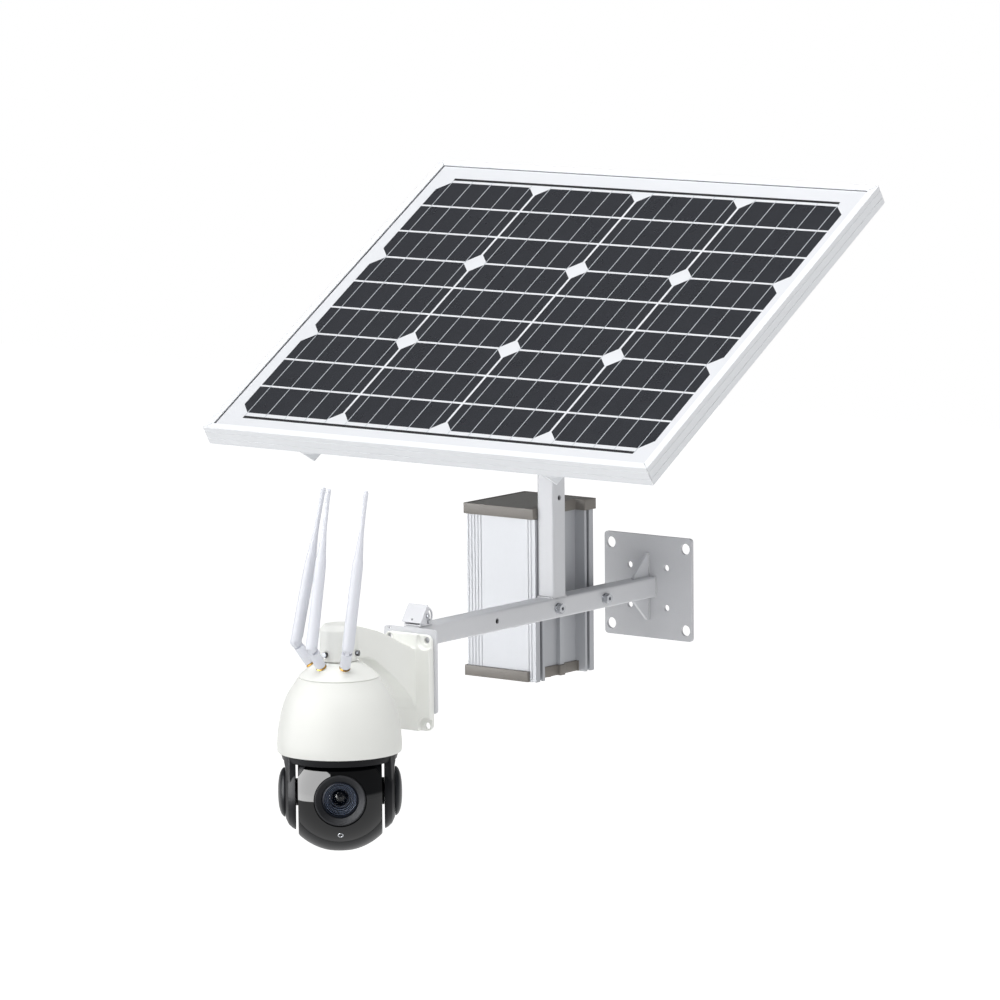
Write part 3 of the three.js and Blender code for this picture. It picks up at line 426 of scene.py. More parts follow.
def swept(points, radius, closed=False, sides=8, ripple=0.0):
    """A tube along a line, with an even ripple in its thickness, as a weld bead has."""
    step = RIPPLE_PITCH / RIPPLE_STEPS if ripple else 2.0
    spots = dense([Vector(p) for p in points], step, closed)
    bm = bmesh.new()
    rings = []
    for i, spot in enumerate(spots):
        ahead = spots[(i + 1) % len(spots)] if closed or i + 1 < len(spots) else spot
        behind = spots[i - 1] if closed or i > 0 else spot
        way = (ahead - behind).normalized()
        side = way.orthogonal().normalized()
        other = way.cross(side)
        swell = radius * (1 + ripple * math.sin(2 * math.pi * i / RIPPLE_STEPS))
        angles = [2 * math.pi * k / sides for k in range(sides)]
        ways = [side * math.cos(a) + other * math.sin(a) for a in angles]
        rings.append([bm.verts.new(spot + out * swell) for out in ways])
    pairs = list(zip(rings, rings[1:]))
    if closed:
        pairs.append((rings[-1], rings[0]))
    else:
        bm.faces.new(rings[0])
        bm.faces.new(rings[-1])
    for a, b in pairs:
        shift = least_twist(a, b)
        for k in range(sides):
            m = (k + 1) % sides
            bm.faces.new([a[k], a[m], b[(m + shift) % sides], b[(k + shift) % sides]])
    return to_mesh(bm)


def least_twist(a, b):
    """How many places to turn ring b so that its points lie nearest to those of ring a."""
    count = len(a)

    def apart(shift):
        return sum((a[k].co - b[(k + shift) % count].co).length for k in range(count))

    return min(range(count), key=apart)


def dense(spots, step, closed):
    """The same line with points at most about a step apart."""
    ends = zip(spots, spots[1:] + spots[:1]) if closed else zip(spots, spots[1:])
    line = []
    for a, b in ends:
        count = max(1, round((b - a).length / step))
        line += [a.lerp(b, i / count) for i in range(count)]
    return line if closed else [*line, spots[-1]]


def moved(mesh, matrix):
    mesh.transform(matrix)
    return mesh


def together(*meshes):
    """Several closed shapes as one mesh."""
    bm = bmesh.new()
    for mesh in meshes:
        bm.from_mesh(mesh)
    return to_mesh(bm)


def applied(mesh, *modifiers):
    """The mesh with modifiers applied: each is a type and its settings."""
    obj = bpy.data.objects.new("shape", mesh)
    bpy.context.scene.collection.objects.link(obj)
    for kind, settings in modifiers:
        modifier = obj.modifiers.new(kind, kind)
        for key, value in settings.items():
            setattr(modifier, key, value)
    bpy.context.view_layer.update()
    evaluated = obj.evaluated_get(bpy.context.evaluated_depsgraph_get())
    result = bpy.data.meshes.new_from_object(evaluated)
    bpy.data.objects.remove(obj)
    return result


def carved(mesh, *others, mode="DIFFERENCE"):
    """The mesh with other closed meshes cut away, or kept only where it lies inside them."""
    for other in others:
        tool = bpy.data.objects.new("tool", other)
        bpy.context.scene.collection.objects.link(tool)
        settings = {"object": tool, "operation": mode, "solver": "EXACT"}
        mesh = applied(mesh, ("BOOLEAN", settings))
        bpy.data.objects.remove(tool)
    return mesh


def bevel_settings(width, segments, angle):
    limit = {"limit_method": "ANGLE", "angle_limit": math.radians(angle)}
    return {"width": width, "segments": segments, **limit}


def edges_rounded(mesh, width, segments=2, angle=35):
    return applied(mesh, ("BEVEL", bevel_settings(width, segments, angle)), ("WEIGHTED_NORMAL", {}))


def shade(mesh, angle):
    """Smooth shading, with edges kept crisp where faces meet at more than the angle."""
    bm = bmesh.new()
    bm.from_mesh(mesh)
    for face in bm.faces:
        face.smooth = True
    for edge in bm.edges:
        edge.smooth = len(edge.link_faces) != 2 or edge.calc_face_angle(0) < math.radians(angle)
    bm.to_mesh(mesh)
    bm.free()


def piece(name, mesh, place, look, nodes=(), body=None, width=0.0, angle=35):
    """Puts a shape in its frame as a piece that stands for CAD nodes and rides on their body."""
    mesh.name = name
    if place is not PANEL:
        mesh.transform(SCALE.inverted() @ place)
        place = SCALE
    mesh.materials.clear()
    mesh.materials.append(LOOKS[look])
    shade(mesh, 180 if width else angle)
    obj = bpy.data.objects.new(name, mesh)
    obj.matrix_world = place
    bpy.context.scene.collection.objects.link(obj)
    if width:
        bevel = obj.modifiers.new("rounding", "BEVEL")
        for key, value in bevel_settings(width, 2, angle).items():
            setattr(bevel, key, value)
        obj.modifiers.new("normals", "WEIGHTED_NORMAL")
    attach(obj, body or BODY_OF[nodes[0]])
    if nodes:
        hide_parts(*nodes)
    return obj


def copied(node):
    """A node's mesh in millimetres, with coplanar triangles merged so its edges can be rounded."""
    bm = bmesh.new()
    bm.from_mesh(frame["nodes"][node].data)
    bmesh.ops.transform(bm, matrix=Matrix.Scale(1 / MM, 4), verts=bm.verts)
    bmesh.ops.remove_doubles(bm, verts=bm.verts, dist=0.003)
    bmesh.ops.dissolve_limit(bm, angle_limit=math.radians(1), verts=bm.verts, edges=bm.edges)
    return to_mesh(bm)


def refined(node, look, width):
    """Stands for a CAD node of the same shape, with its edges rounded."""
    return piece(node + "_finished", copied(node), WORLD, look, [node], width=width)


# ------------------------------------------------------------------ camera, floor and light
def place_camera():
    data = bpy.data.cameras.new("camera")
    data.lens = 234.0
    data.sensor_width = 36.0
    data.clip_end = 100.0
    camera = bpy.data.objects.new("camera", data)
    around = math.radians(37.63)
    above = math.radians(8.03)
    roll = math.radians(-0.5)
    level = math.cos(above)
    back = Vector((math.sin(around) * level, -math.cos(around) * level, math.sin(above)))
    right = Vector((math.cos(around), math.sin(around), 0))
    up = back.cross(right)
    rolled_right = right * math.cos(roll) + up * math.sin(roll)
    rolled_up = up * math.cos(roll) - right * math.sin(roll)
    turn = Matrix((rolled_right, rolled_up, back)).transposed().to_4x4()
    camera.matrix_world = Matrix.Translation((4.7257, -6.4334, 1.2351)) @ turn
    bpy.context.scene.collection.objects.link(camera)
    bpy.context.scene.camera = camera


def place_floor():
    graph = Graph("floor_white")
    graph.set(Base_Color=(0.35, 0.35, 0.35, 1), Roughness=0.9, Specular_IOR_Level=0.1)
    graph.set(Emission_Color=(1, 1, 1, 1), Emission_Strength=1.03)
    mesh = bpy.data.meshes.new("floor")
    half = 40
    corners = [(x, y, 0) for x, y in rectangle(-half, half, -half, half)]
    mesh.from_pydata(corners, [], [(0, 1, 2, 3)])
    mesh.materials.append(graph.material)
    floor = bpy.data.objects.new("floor", mesh)
    floor.location.z = -6.0
    bpy.context.scene.collection.objects.link(floor)


def softbox(name, place, aim, size, power):
    data = bpy.data.lights.new(name, "AREA")
    data.shape = "RECTANGLE"
    data.size, data.size_y = size
    data.energy = power
    lamp = bpy.data.objects.new(name, data)
    lamp.location = place
    lamp.rotation_euler = (Vector(aim) - Vector(place)).to_track_quat("-Z", "Y").to_euler()
    bpy.context.scene.collection.objects.link(lamp)
    return lamp


def place_world():
    """Dim studio air above the horizon and white below it."""
    world = bpy.data.worlds.new("studio")
    world.use_nodes = True
    nodes, links = world.node_tree.nodes, world.node_tree.links
    way = nodes.new("ShaderNodeTexCoord").outputs["Generated"]
    split = nodes.new("ShaderNodeSeparateXYZ")
    links.new(way, split.inputs["Vector"])
    level = nodes.new("ShaderNodeMapRange")
    links.new(split.outputs["Z"], level.inputs["Value"])
    for key, value in {"From Min": -0.06, "From Max": 0.0, "To Min": 1.0, "To Max": 0.2}.items():
        level.inputs[key].default_value = value
    background = nodes["Background"]
    background.inputs["Color"].default_value = (1, 1, 1, 1)
    links.new(level.outputs["Result"], background.inputs["Strength"])
    bpy.context.scene.world = world


def place_lights():
    middle = (0, -0.35, 0.1)
    key = softbox("key", (-1.5, -3.9, 2.1), middle, (4.2, 3.2), 57)
    softbox("top", (0.3, -1.3, 3.4), middle, (3.0, 3.0), 122)
    fill = softbox("fill", (4.0, -1.2, 1.6), middle, (2.5, 2.5), 22)
    for lamp in (key, fill):
        lamp.visible_glossy = False
    card = softbox("card", (-1.2, -2.9, 1.1), (0, -0.6, 1.1), (4.7, 3.6), 640)
    card.visible_diffuse = False
    bpy.context.scene.view_settings.view_transform = "Standard"


# ------------------------------------------------------------------ steelwork
def build_wall_plate():
    holes = []
    for sx in (-1, 1):
        for sz in (-1, 1):
            holes.append(circle(sx * 57, sz * 51, 6.9))
            holes.append(circle(sx * 28, sz * 25, 4.1, 32))
    edge = softened(rectangle(-67, 67, -64.5, 64.5), 5, 8)
    mesh = prism(edge, -4, 0, "y", holes)
    piece("wall_plate_finished", mesh, WORLD, "plate_paint", ["wall_plate"], width=0.5)
    refined("gusset_top", "grey_paint", 0.5)
    refined("gusset_bottom", "grey_paint", 0.5)


def tube_mesh(low, high, axis, shift=0):
    """A square tube, moved sideways by shift along the second axis of its section."""
    inside = TUBE - TUBE_WALL
    outer = rectangle(-TUBE, TUBE, shift - TUBE, shift + TUBE)
    inner = rectangle(-inside, inside, shift - inside, shift + inside)
    return prism(softened(outer, 3.2, 5), low, high, axis, [softened(inner, 1.5, 3)])


def build_tubes():
    arm = tube_mesh(ARM_END, -4.3, "y")
    bores = [prism(circle(y, 0, BORE, 32), -20, 20, "x") for y in (*SLOT_YS, SPARE_HOLE_Y)]
    piece("support_arm_finished", carved(arm, *bores), WORLD, "grey_paint", ["support_arm"], angle=30)
    post = tube_mesh(12.8, POST_TOP, "z", POST_Y)
    bore = prism(circle(POST_Y, SPARE_HOLE_Z, BORE, 32), -20, 20, "x")
    piece("panel_post_finished", carved(post, bore), WORLD, "grey_paint", ["panel_post"], angle=30)


def build_camera_plate():
    holes = [circle(-28, -1, 3, 32), circle(28, -1, 3, 32), circle(-31, 8.6, 1.4, 20)]
    edge = softened(rectangle(-39.5, 39.5, -89, 11.5), 5, 8)
    mesh = prism(edge, -480.2, -477.7, "y", holes)
    piece("camera_plate_finished", mesh, WORLD, "white_paint", ["camera_plate"], width=0.35)


def build_welds():
    half = TUBE + 0.4
    collar = softened(rectangle(-half, half, -half, half), 3, 3)
    beads = [swept([(a, -4.7, b) for a, b in collar], 1.1, True, ripple=0.12)]
    for y in (POST_Y - TUBE - 0.5, POST_Y + TUBE + 0.5):
        beads.append(swept([(-TUBE + 1, y, TUBE + 0.5), (TUBE - 1, y, TUBE + 0.5)], 1.6, ripple=0.12))
    for x in (-TUBE + 0.1, TUBE - 0.1):
        beads.append(swept([(x, POST_Y - TUBE, TUBE), (x, POST_Y + TUBE, TUBE)], 0.7, ripple=0.15))
    for way in (-1, 1):
        for x in (-2.3, 2.3):
            upright = [(x, -5, way * 15), (x, -5, way * 41)]
            along = [(x, -7, way * 13.1), (x, -34.5, way * 13.1)]
            beads += [swept(line, 1.2, ripple=0.12) for line in (upright, along)]
    piece("weld_beads", together(*beads), WORLD, "weld_metal", body="bracket", angle=60)


def threads(radius, low, high, pitch=0.8):
    """Profile points of a screw thread, as close grooves."""
    count = int((high - low) / pitch)
    line = []
    for i in range(count):
        line += [(radius, low + pitch * (i + 0.25)), (radius - 0.3, low + pitch * (i + 0.75))]
    return line


def nut_mesh(radius, low, high, axis, turn=math.pi / 6):
    """A hexagonal nut whose corners are rounded off at both ends."""
    solid = prism(circle(0, 0, radius, 6, turn), low, high, axis)
    rim, past, clear = radius * 0.9, radius + 0.1, 0.01
    limit = [(0, low - clear), (rim, low - clear), (past, low + 1), (past, high - 1)]
    limit += [(rim, high + clear), (0, high + clear)]
    return carved(solid, lathe(limit, 48, axis), mode="INTERSECT")


def build_slot_bolts():
    for node, y in zip(("slot_bolt_front", "slot_bolt_rear"), SLOT_YS):
        washer = softened(rectangle(3.4, 6.6, 12.8, 13.6), 0.3, 2)
        stud = [(0, -19), (2.4, -19), *threads(2.4, -18, 19)]
        stud += [(2.2, 19.4), (1.5, 19.4), (1.5, 17.6), (0, 17.6)]
        head = prism(softened(rectangle(-4.4, 4.4, -4.4, 4.4), 0.5, 2), -19.3, -15.3, "x")
        nut = carved(nut_mesh(6.2, 13.6, 20.4, "x"), lathe(rectangle(0, 2.3, 10, 24), 32, "x"))
        shapes = [lathe(washer, 64, "x"), lathe(stud, 32, "x"), nut, head]
        mesh = moved(together(*shapes), Matrix.Translation((0, y, 0)))
        piece(node + "_finished", mesh, WORLD, "zinc", [node], angle=30)


# ------------------------------------------------------------------ battery box
def cap_outline():
    over = CAP_OVERHANG
    left, front, back = BOX["left"] - over, BOX["front"] - over, BOX["back"] + over
    step = BOX["recess"] + 2
    near, far = BOX["front"] + 20, BOX["back"] - 20
    right = BOX["right"]
    points = [(left, front), (right, front), (right, near), (step, near), (step, far)]
    points += [(right + 3, far), (right + 3, back), (left, back)]
    return softened(points, 2, 4)


def lower_cap_outline():
    over = CAP_OVERHANG
    left, front, back = BOX["left"] - over, BOX["front"] - over, BOX["back"] + over
    edge = BOX["recess"] + 1.2
    near, far = BOX["front"] + 18.3, BOX["back"] - 18.3
    points = [(left, front), (COLUMN_BACK, front), (COLUMN_BACK, near), (edge, near), (edge, -158)]
    points += [(edge + 6, -158), (edge + 6, -148), (edge, -148), (edge, far), (COLUMN_BACK, far)]
    return softened([*points, (COLUMN_BACK, back), (left, back)], 1.5, 3)


def build_battery_box():
    refined("battery_case", "anodised", 0.3)
    top = BOX_TOP + 0.3
    cap = edges_rounded(prism(cap_outline(), top, top + CAP_HEIGHT), 1.3, 4)
    left, front, back, recess = (BOX[key] for key in ("left", "front", "back", "recess"))
    tray_edge = softened(rectangle(left + 0.5, recess - 1, front + 0.5, back - 0.5), 4, 5)
    cap = carved(cap, prism(tray_edge, top + CAP_HEIGHT - 0.7, top + 30))
    piece("battery_top_cap_finished", cap, WORLD, "taupe", ["battery_top_cap"], angle=30)
    inner = softened(rectangle(left + 1, recess - 1.5, front + 1, back - 1), 4, 5)
    level = top + CAP_HEIGHT
    tray = prism(inner, level - 0.9, level - 0.5)
    piece("battery_top_tray", tray, WORLD, "taupe_tray", body="bracket")
    low = BOX_BOTTOM - CAP_HEIGHT
    lower = edges_rounded(prism(lower_cap_outline(), low, BOX_BOTTOM - 0.3), 1.0, 3)
    places = [at(GLAND_X, y) for y in GLAND_YS]
    bores = [moved(lathe(rectangle(0, 3.4, low - 1, BOX_BOTTOM), 32), place) for place in places]
    glands = [moved(gland_mesh(low), place) for place in places]
    mesh = together(carved(lower, *bores), *glands)
    piece("battery_bottom_cap_finished", mesh, WORLD, "taupe", ["battery_bottom_cap"], angle=35)


def at(x, y, z=0.0):
    return Matrix.Translation((x, y, z))


def gland_mesh(top):
    """A cable gland: a hexagonal body and a domed, ribbed nut with a hole for the cable."""
    bore = lathe(rectangle(0, 3.4, top - 9, top + 9), 32)
    body = carved(nut_mesh(8, top - 5, top + 0.5, "z", 0), bore)
    line = [(3.4, -5), (7.2, -5), (7.0, -9.5), (5.2, -12), (3.4, -12)]
    dome = softened([(radius, top + level) for radius, level in line], 0.8, 3)

    def ribs(i, height):
        return 0.15 if i % 4 < 2 and height > top - 9.6 else 0

    return together(body, lathe(dome, 72, wobble=ribs))


# ------------------------------------------------------------------ solar panel
def slab(outline, low, high, holes=()):
    """A flat shape whose points are across and down the slope from the panel's middle."""
    loops = [[(u, PANEL_BACK - v) for u, v in loop] for loop in (outline, *holes)]
    return prism(loops[0], PANEL_UP + low, PANEL_UP + high, holes=loops[1:])


def strip_outline(column, strip):
    half = CELL_GAP / 2
    u0, u1 = COLUMN_EDGES[column], COLUMN_EDGES[column + 1]
    v0, v1 = STRIP_EDGES[strip], STRIP_EDGES[strip + 1]
    u0 += half if column > 0 else 0
    u1 -= half if column < 3 else 0
    v0 += half if strip > 0 else 0
    v1 -= half if strip < 8 else 0
    cut = CELL_CHAMFER
    first = strip % STRIPS_PER_CELL == 0
    last = strip % STRIPS_PER_CELL == STRIPS_PER_CELL - 1
    top, bottom = [(u0, v0), (u1, v0)], [(u1, v1), (u0, v1)]
    if first:
        top = [(u0, v0 + cut), (u0 + cut, v0), (u1 - cut, v0), (u1, v0 + cut)]
    if last:
        bottom = [(u1, v1 - cut), (u1 - cut, v1), (u0 + cut, v1), (u0, v1 - cut)]
    return top + bottom


def build_laminate():
    half_u, half_v = PANEL_SIZE[0] / 2 - 2.4, PANEL_SIZE[1] / 2 - 2.4
    sheet = slab(rectangle(-half_u, half_u, -half_v, half_v), SHEET_LOW, SHEET_TOP)
    piece("panel_laminate", sheet, PANEL, "sheet_white", ["panel_glass", "panel_backsheet"])
    outlines = [strip_outline(column, strip) for column in range(4) for strip in range(9)]
    strips = [slab(outline, SHEET_TOP - 0.02, SHEET_TOP + 0.05) for outline in outlines]
    piece("panel_cells", together(*strips), PANEL, "cell", body="solar_panel")
    bars = []
    for column in range(4):
        start, stop = COLUMN_EDGES[column], COLUMN_EDGES[column + 1]
        for share in BUSBARS:
            u = start + (stop - start) * share
            bars.append(slab(rectangle(u - 0.6, u + 0.6, *RIBBON_VS), SHEET_TOP, SHEET_TOP + 0.1))
    piece("panel_busbars", together(*bars), PANEL, "busbar", body="solar_panel")
    lines = [rectangle(-290, 297, v - 2.2, v + 2.2) for v in RIBBON_VS]
    ribbons = [slab(line, SHEET_TOP, SHEET_TOP + 0.13) for line in lines]
    piece("panel_ribbons", together(*ribbons), PANEL, "ribbon", body="solar_panel")
    # A thin dark seal inside the frame lip, drawn wider on the left, where the extra width is the lip's painted
    # shadow.
    edge_u, edge_v = PANEL_SIZE[0] / 2 - 10, PANEL_SIZE[1] / 2 - 10
    outer = rectangle(-edge_u - 1, edge_u + 1, -edge_v - 1, edge_v + 1)
    inner = rectangle(-edge_u + 1.6, edge_u - 0.8, -edge_v + 0.8, edge_v - 0.8)
    seal_and_lip_shadow = slab(outer, SHEET_TOP, -1.61, [inner])
    piece("panel_seal_and_lip_shadow", seal_and_lip_shadow, PANEL, "seal_and_lip_shadow", body="solar_panel")


def build_panel_metal():
    for side in ("left", "front", "right", "rear"):
        refined("panel_frame_" + side, "frame_metal", 0.25)
    for side in ("left", "right"):
        refined("panel_rail_" + side, "frame_metal", 0.4)
    refined("panel_crossbar", "grey_paint", 1.0)
    refined("junction_box", "black_matt", 0.6)
    refined("junction_box_lid", "black_matt", 0.8)
    for node in ("post_head", "panel_yoke"):
        refined(node, "grey_paint", 0.5)
    for node in ("tilt_pivot_bolt", "tilt_lock_bolt"):
        refined(node, "zinc", 0.4)


def build_accessory():
    refined("accessory_base", "grey_paint", 0.3)
    refined("accessory_yoke", "white_paint", 0.3)
    for node in ("accessory_pivot_bolt", "accessory_lock_bolt"):
        refined(node, "zinc", 0.3)


# ------------------------------------------------------------------ camera bracket and dome
def build_camera_bracket():
    remesh = {"mode": "VOXEL", "voxel_size": 1.1, "use_smooth_shade": True}
    relax = {"factor": 0.5, "iterations": 3}
    mesh = applied(copied("camera_bracket"), ("REMESH", remesh), ("SMOOTH", relax))
    piece("camera_bracket_cast", mesh, WORLD, "cast_white_painted_lit", ["camera_bracket"], angle=180)
    refined("neck_screw_left", "dark_chrome", 0.4)
    refined("neck_screw_right", "dark_chrome", 0.4)


def build_dome():
    slope = flowing([(22, -10), (25, -11.2), (33, -16), (41, -22), (46.2, -26.6)], 6)
    outer = [(11, 20), (14.5, 20), (14.5, -10), *slope, (47, -27.6), (46.6, SEAM_Z)]
    inner = [(42.5, SEAM_Z), (38, -24), (30, -18.5), (22, -14), (11, -13)]
    piece("dome_cap_finished", lathe(outer + inner, 128), DOME, "cast_white_painted_lit", ["dome_cap"], angle=32)
    top = SEAM_Z - 0.3
    skin = [(47.9, -29.5), (53.5, -37.5), (61, -49.5), (66.8, -65), (71.1, -84)]
    skin = flowing([*skin, (73.2, -104), (73.0, -114.6)], 8)
    rim = [(72.7, -116), (70.5, -116), (70.2, -115)]
    inside = [(70.2, -101), (68, -84), (63.6, -66), (57.5, -51), (50.5, -39.5), (44.5, -32)]
    inside = flowing(inside, 6)
    profile = [(44.5, top), (47, top), *skin, *rim, *inside]
    piece("dome_shell_finished", lathe(profile, 160), DOME, "cast_white", ["dome_shell"], angle=32)


def build_antenna(side):
    seat, whip = antenna_frames(side)
    boss = softened([(0, -3.5), (6.6, -3.5), (6.6, 1.2), (0, 1.2)], 0.7, 3, closed=False)
    piece("antenna_seat_" + side, lathe(boss, 64), seat, "cast_white_painted_lit", body="bracket", angle=40)
    nut = softened([(2.6, 1.3), (6.3, 1.3), (6.3, 2.7), (5.0, 3.4), (5.0, 7), (2.6, 7)], 0.3, 3)
    knurled = lathe(nut, 120, wobble=lambda i, z: 0.15 if i % 5 < 3 and 1.5 < z < 2.5 else 0)
    node = "antenna_nut_" + side
    piece(node + "_finished", knurled, seat, "gold", [node], angle=35)
    barrel = [(0, 7.3), (5.3, 7.3), (5.3, 3.9), (5.9, 3.9), (6.3, 4.6), (6.3, 25.7), (0, 25.7)]
    barrel = softened(barrel, 0.5, 3, closed=False)
    tongue = [*arc(0, HINGE_UP, 5.6, 0, 180, 24), (-5.6, 24), (5.6, 24)]
    pin = softened([(0, -6.4), (1.9, -6.4), (1.9, 6.4), (0, 6.4)], 0.4, 2, closed=False)
    neck = [(0, 2.5), (2.2, 2.5), (2.2, 8), (0, 8)]
    shapes = [lathe(barrel, 64), edges_rounded(prism(tongue, -2.3, 2.3, "x"), 0.4)]
    shapes += [moved(lathe(pin, 32, "x"), at(0, 0, HINGE_UP)), lathe(neck, 32)]
    node = "antenna_knuckle_" + side
    piece(node + "_finished", together(*shapes), seat, "whip_white", [node], angle=35)
    line = [(2.6, -6.4), (4.8, -5), (6.4, -2.8), (7.0, 0.3), (7.1, 3), (7.0, 30)]
    line += [(radius, share * WHIP) for radius, share in WHIP_TAPER]
    line += [(2.9, WHIP - 4), (2.2, WHIP - 0.6)]
    body = lathe([(0, -6.6), *flowing(line, 6), (0, WHIP)], 72)
    slot = prism(softened(rectangle(-2.7, 2.7, -12, 5.8), 0.1, 1), -10, 7.2)
    hole = lathe([(0, -10), (1.95, -10), (1.95, 10), (0, 10)], 32, "x")
    node = "antenna_whip_" + side
    piece(node + "_finished", carved(body, slot, hole), whip, "whip_white", [node], angle=35)


# ------------------------------------------------------------------ pan and tilt head
def above_tilt(z):
    return z - TILT_Z


def build_yoke():
    up = above_tilt
    limit = flowing([(69, up(-104)), (67.6, up(-95)), (66, up(-87))], 4)
    inside = lathe([(0, -60), (69, -60), *limit, (0, up(-87))], 128)
    front_view = [(52, 14), (60, 14), (65, 40), (65, up(-88)), (52, up(-88))]
    profile = [(0, 52), (44.3, 52), (42.6, 55.5), (38, 60.5), (30.5, 64), (0, 64)]
    arms = []
    for turn in (0, math.pi):
        block = carved(prism(front_view, -36, 36, "y"), inside, mode="INTERSECT")
        block = edges_rounded(block, 0.8, 3, 40)
        boss = lathe(softened(profile, 1.2, 3, closed=False), 128, "x")
        arm = carved(block, boss, mode="UNION")
        arms.append(moved(arm, Matrix.Rotation(turn, 4, "Z")))
    disc_line = rectangle(0, 58, up(-92), up(-88))
    disc = lathe(softened(disc_line, 1, 3, closed=False), 96)
    hub = lathe(rectangle(0, 12, up(-89), up(-64)), 48)
    skirt_line = [(64, up(-125)), (67, up(-125)), (69, up(-117)), (69, up(-112)), (64, up(-112))]
    skirt = lathe(softened(skirt_line, 1.2, 4), 160)
    axle_hole = lathe(rectangle(0, 10, -80, 80), 48, "x")
    arms = [carved(arm, axle_hole.copy()) for arm in arms]
    mesh = together(*arms, disc, hub, skirt)
    piece("pan_yoke_finished", mesh, HEAD, "black_shell", ["pan_yoke"], angle=35)
    dome = flowing([(29, 65.4), (28.2, 66.7), (25.3, 68.9), (19, 71.1), (10, 72.4), (0.01, 72.8)], 6)
    cover = lathe([(0, 64.3), (28.7, 64.3), (29, 64.7), *dome[:-1], (0, 72.8)], 128, "x")
    other = moved(cover.copy(), Matrix.Rotation(math.pi, 4, "Z"))
    piece("ear_cover_right_finished", cover, HEAD, "cover_black", ["ear_cover_right"], angle=50)
    piece("ear_cover_left_finished", other, HEAD, "cover_black", ["ear_cover_left"], angle=50)


def window_outline(grow):
    edge = BALL_SIDE + 1
    points = [(edge, 24 + grow), (36 + grow, 42 + grow), (33 + grow, 48 + grow)]
    points += [(-33 - grow, 48 + grow), (-36 - grow, 42 + grow), (-edge, 24 + grow)]
    return [*points, *arc(0, 9, 60 + grow, 215, 325, 60)]


def globe(radius):
    """A sphere turned about the tilt axis."""
    angles = [math.pi * i / GLOBE_STEPS for i in range(GLOBE_STEPS + 1)]
    line = [(radius * math.sin(a), -radius * math.cos(a)) for a in angles]
    line[0] = (0, -radius)
    line[-1] = (0, radius)
    return lathe(line, 160, "x")


def box_mesh(x0, x1, y0, y1, z0, z1):
    return prism(rectangle(x0, x1, y0, y1), z0, z1)


def build_ball():
    side, wall_in, hub = BALL_SIDE, 46.2, 51.7
    edge = math.sqrt(BALL**2 - side**2)
    half = math.asin(side / BALL)
    inner = math.sqrt(BALL_INSIDE**2 - wall_in**2)
    tunnel = math.asin(wall_in / BALL_INSIDE)
    outwards = [half * (i / 32 - 1) for i in range(65)]
    skin = [(BALL * math.cos(a), BALL * math.sin(a)) for a in outwards]
    inwards = [tunnel * (1 - i / 16) for i in range(33)]
    lining = [(BALL_INSIDE * math.cos(a), BALL_INSIDE * math.sin(a)) for a in inwards]
    outer = [(10, -hub), (16, -hub), (16, -side), (edge - 0.6, -side), *skin[1:-1], (edge - 0.6, side)]
    outer += [(16, side), (16, hub), (10, hub)]
    profile = [*outer, (10, wall_in), (inner, wall_in), *lining[1:-1], (inner, -wall_in), (10, -wall_in)]
    shell = lathe(profile, 192, "x")
    floor_cut = box_mesh(-60, 60, -90, 90, -90, BALL_FLAT)
    opening = carved(prism(window_outline(0.35), -90, -20, "y"), globe(66.2))
    shell = carved(shell, floor_cut, opening)
    shade(shell, 32)
    piece("ball_shell_finished", shell, HEAD, "black_shell", ["ball_shell"], angle=32)
    base = prism(softened(rectangle(-40, 40, -30, 30), 2), BALL_FLAT, BALL_FLAT + 2.6)
    foot = carved(base, globe(69.9), mode="INTERSECT")
    piece("ball_foot", foot, HEAD, "black_shell", body="tilt_head", angle=32)


def build_window():
    outer = globe(BALL - 0.12)
    pane = carved(outer, prism(window_outline(0), -90, -20, "y"), mode="INTERSECT")
    pane = carved(pane, box_mesh(-BALL_SIDE, BALL_SIDE, -90, -20, -90, 90), mode="INTERSECT")
    hole = prism(circle(0, 0, 31, 96), -90, 0, "y")
    pane = carved(pane, globe(66.8), hole)
    piece("front_window_finished", pane, HEAD, "window_black", ["front_window"], angle=32)


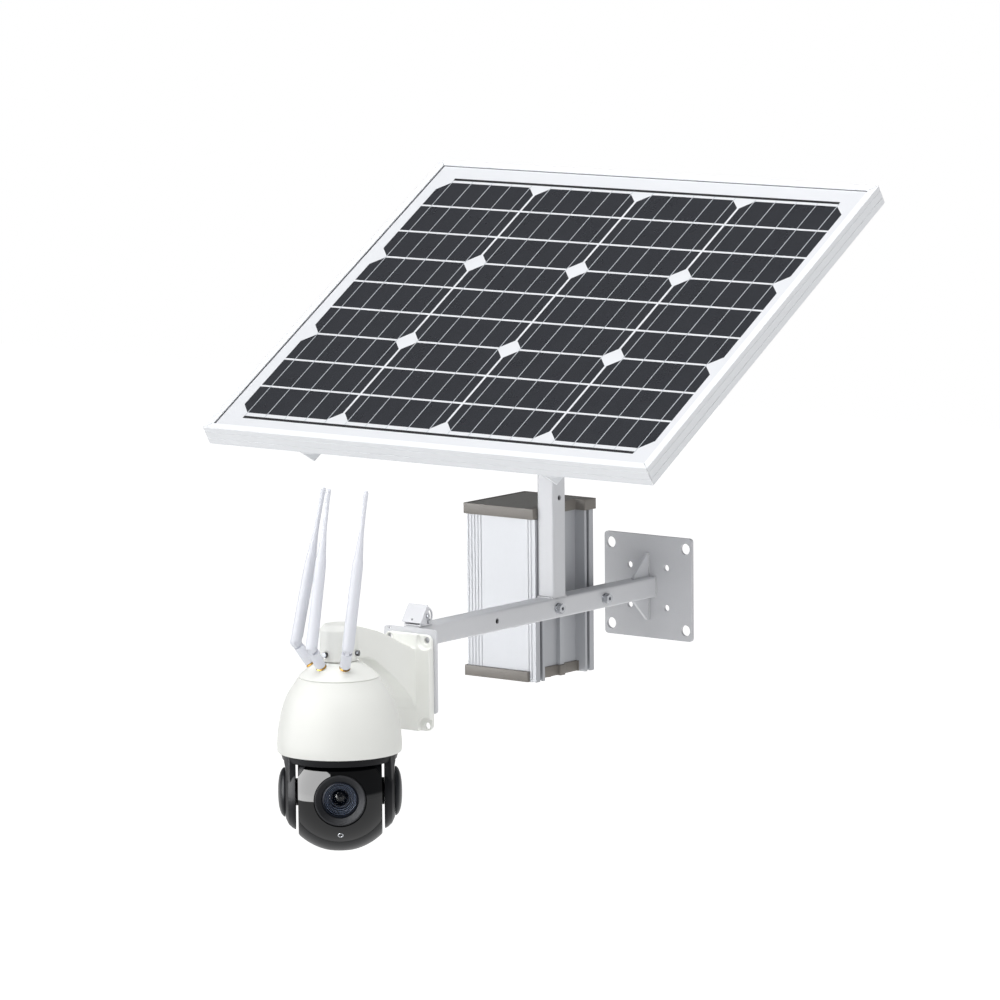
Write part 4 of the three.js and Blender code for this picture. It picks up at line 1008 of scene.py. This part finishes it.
def build_lens():
    f = LENS_FRONT
    bezel = [(21.6, f - 18), (27.4, f - 18), (27.4, f - 9), (30.4, f - 9), (30.4, f - 0.8), (29.6, f)]
    bezel += [(28, f), (21.6, f - 4.5)]
    mesh = lathe(softened(bezel, 0.5, 3), 128, "y")
    piece("lens_bezel_finished", mesh, HEAD, "black_matt", ["lens_bezel"], angle=40)
    barrel = [(0, f - 52), (15, f - 52), (15, f - 30), (21.2, f - 30), (21.2, f - 6), (19.3, f - 5)]
    steps = [(19.3, f - 10.9), (17.6, f - 10.9), (17.2, f - 12.5), (15.4, f - 12.5), (14.8, f - 15)]
    steps += [(12.6, f - 15), (12.1, f - 19), (9.6, f - 19), (9.2, f - 27), (0, f - 28)]
    mesh = lathe(barrel + steps, 128, "y")
    piece("lens_barrel_finished", mesh, HEAD, "lens_black_painted_blue", ["lens_barrel"], angle=30)
    curve = flowing([(19, f - 9.2), (14, f - 7.5), (7, f - 6.2), (0.01, f - 5.9)], 8)[:-1]
    glass = lathe([(0, f - 10.2), (19, f - 10.2), *curve, (0, f - 5.9)], 96, "y")
    piece("lens_glass_finished", glass, HEAD, "coated_glass", ["lens_glass"], angle=30)
    element = flowing([(9, f - 25), (6, f - 22.5), (0.01, f - 21)], 8)[:-1]
    rear = lathe([(0, f - 26), (9, f - 26), *element, (0, f - 21)], 64, "y")
    piece("lens_rear_element", rear, HEAD, "window_black", body="zoom_barrel", angle=40)
    # Each ring takes the light blue grey of painted reflection.
    for i, (radius, back) in enumerate(LENS_RINGS):
        level = f - back
        ring = softened([(radius - 0.4, level), (radius, level), (radius, level + 0.4)], 0.1, 2)
        piece(f"lens_ring_{i}", lathe(ring, 96, "y"), HEAD, "ring_painted_reflection", body="zoom_barrel", angle=40)


def build_led():
    reach = math.sqrt(BALL**2 - LED_DROP**2)
    out = Vector((0, -reach, -LED_DROP)).normalized()
    turn = out.to_track_quat("Z", "Y").to_matrix().to_4x4()
    place = HEAD @ Matrix.Translation(out * (BALL - 0.5)) @ turn
    ring = softened([(2.2, -1), (3.4, -1), (3.4, 0.5), (2.9, 0.75), (2.2, 0.2)], 0.15, 2)
    piece("indicator_ring", lathe(ring, 48), place, "zinc", body="tilt_head", angle=40)
    lens = flowing([(2.2, 0), (1.6, 0.35), (0.01, 0.5)], 5)[:-1]
    dome = lathe([(0, -1), (2.2, -1), *lens, (0, 0.5)], 40)
    piece("indicator_lens", dome, place, "coated_glass", body="tilt_head", angle=40)


# ------------------------------------------------------------------ CAD nodes that stay as they are
KEPT = {
    "battery_pack": "wrap",
    "charge_controller": "board",
    "pan_deck": "black_matt",
    "pan_motor": "zinc",
    "pan_pinion": "zinc",
    "pan_gear": "zinc",
    "tilt_motor": "zinc",
    "tilt_axle": "zinc",
}


def dress_kept_nodes():
    """Gives the nodes that stay a finish whose texture is measured in metres, as their meshes are."""
    for node, look in KEPT.items():
        name = look + "_metres"
        if name not in LOOKS:
            LOOKS[name] = in_metres(LOOKS[look], name)
        materials = frame["nodes"][node].data.materials
        for slot in frame["nodes"][node].material_slots:
            slot.material = LOOKS[name]
        if not len(materials):
            materials.append(LOOKS[name])


def in_metres(material, name):
    copy = material.copy()
    copy.name = name
    for node in copy.node_tree.nodes:
        if node.type == "MAPPING":
            scale = node.inputs["Scale"].default_value
            node.inputs["Scale"].default_value = tuple(s / MM for s in scale)
    return copy


place_camera()
place_floor()
place_world()
place_lights()
build_wall_plate()
build_tubes()
build_camera_plate()
build_welds()
build_slot_bolts()
build_battery_box()
build_laminate()
build_panel_metal()
build_accessory()
build_camera_bracket()
build_dome()
for antenna_side in ANTENNA_LEANS:
    build_antenna(antenna_side)
build_yoke()
build_ball()
build_window()
build_lens()
build_led()
dress_kept_nodes()
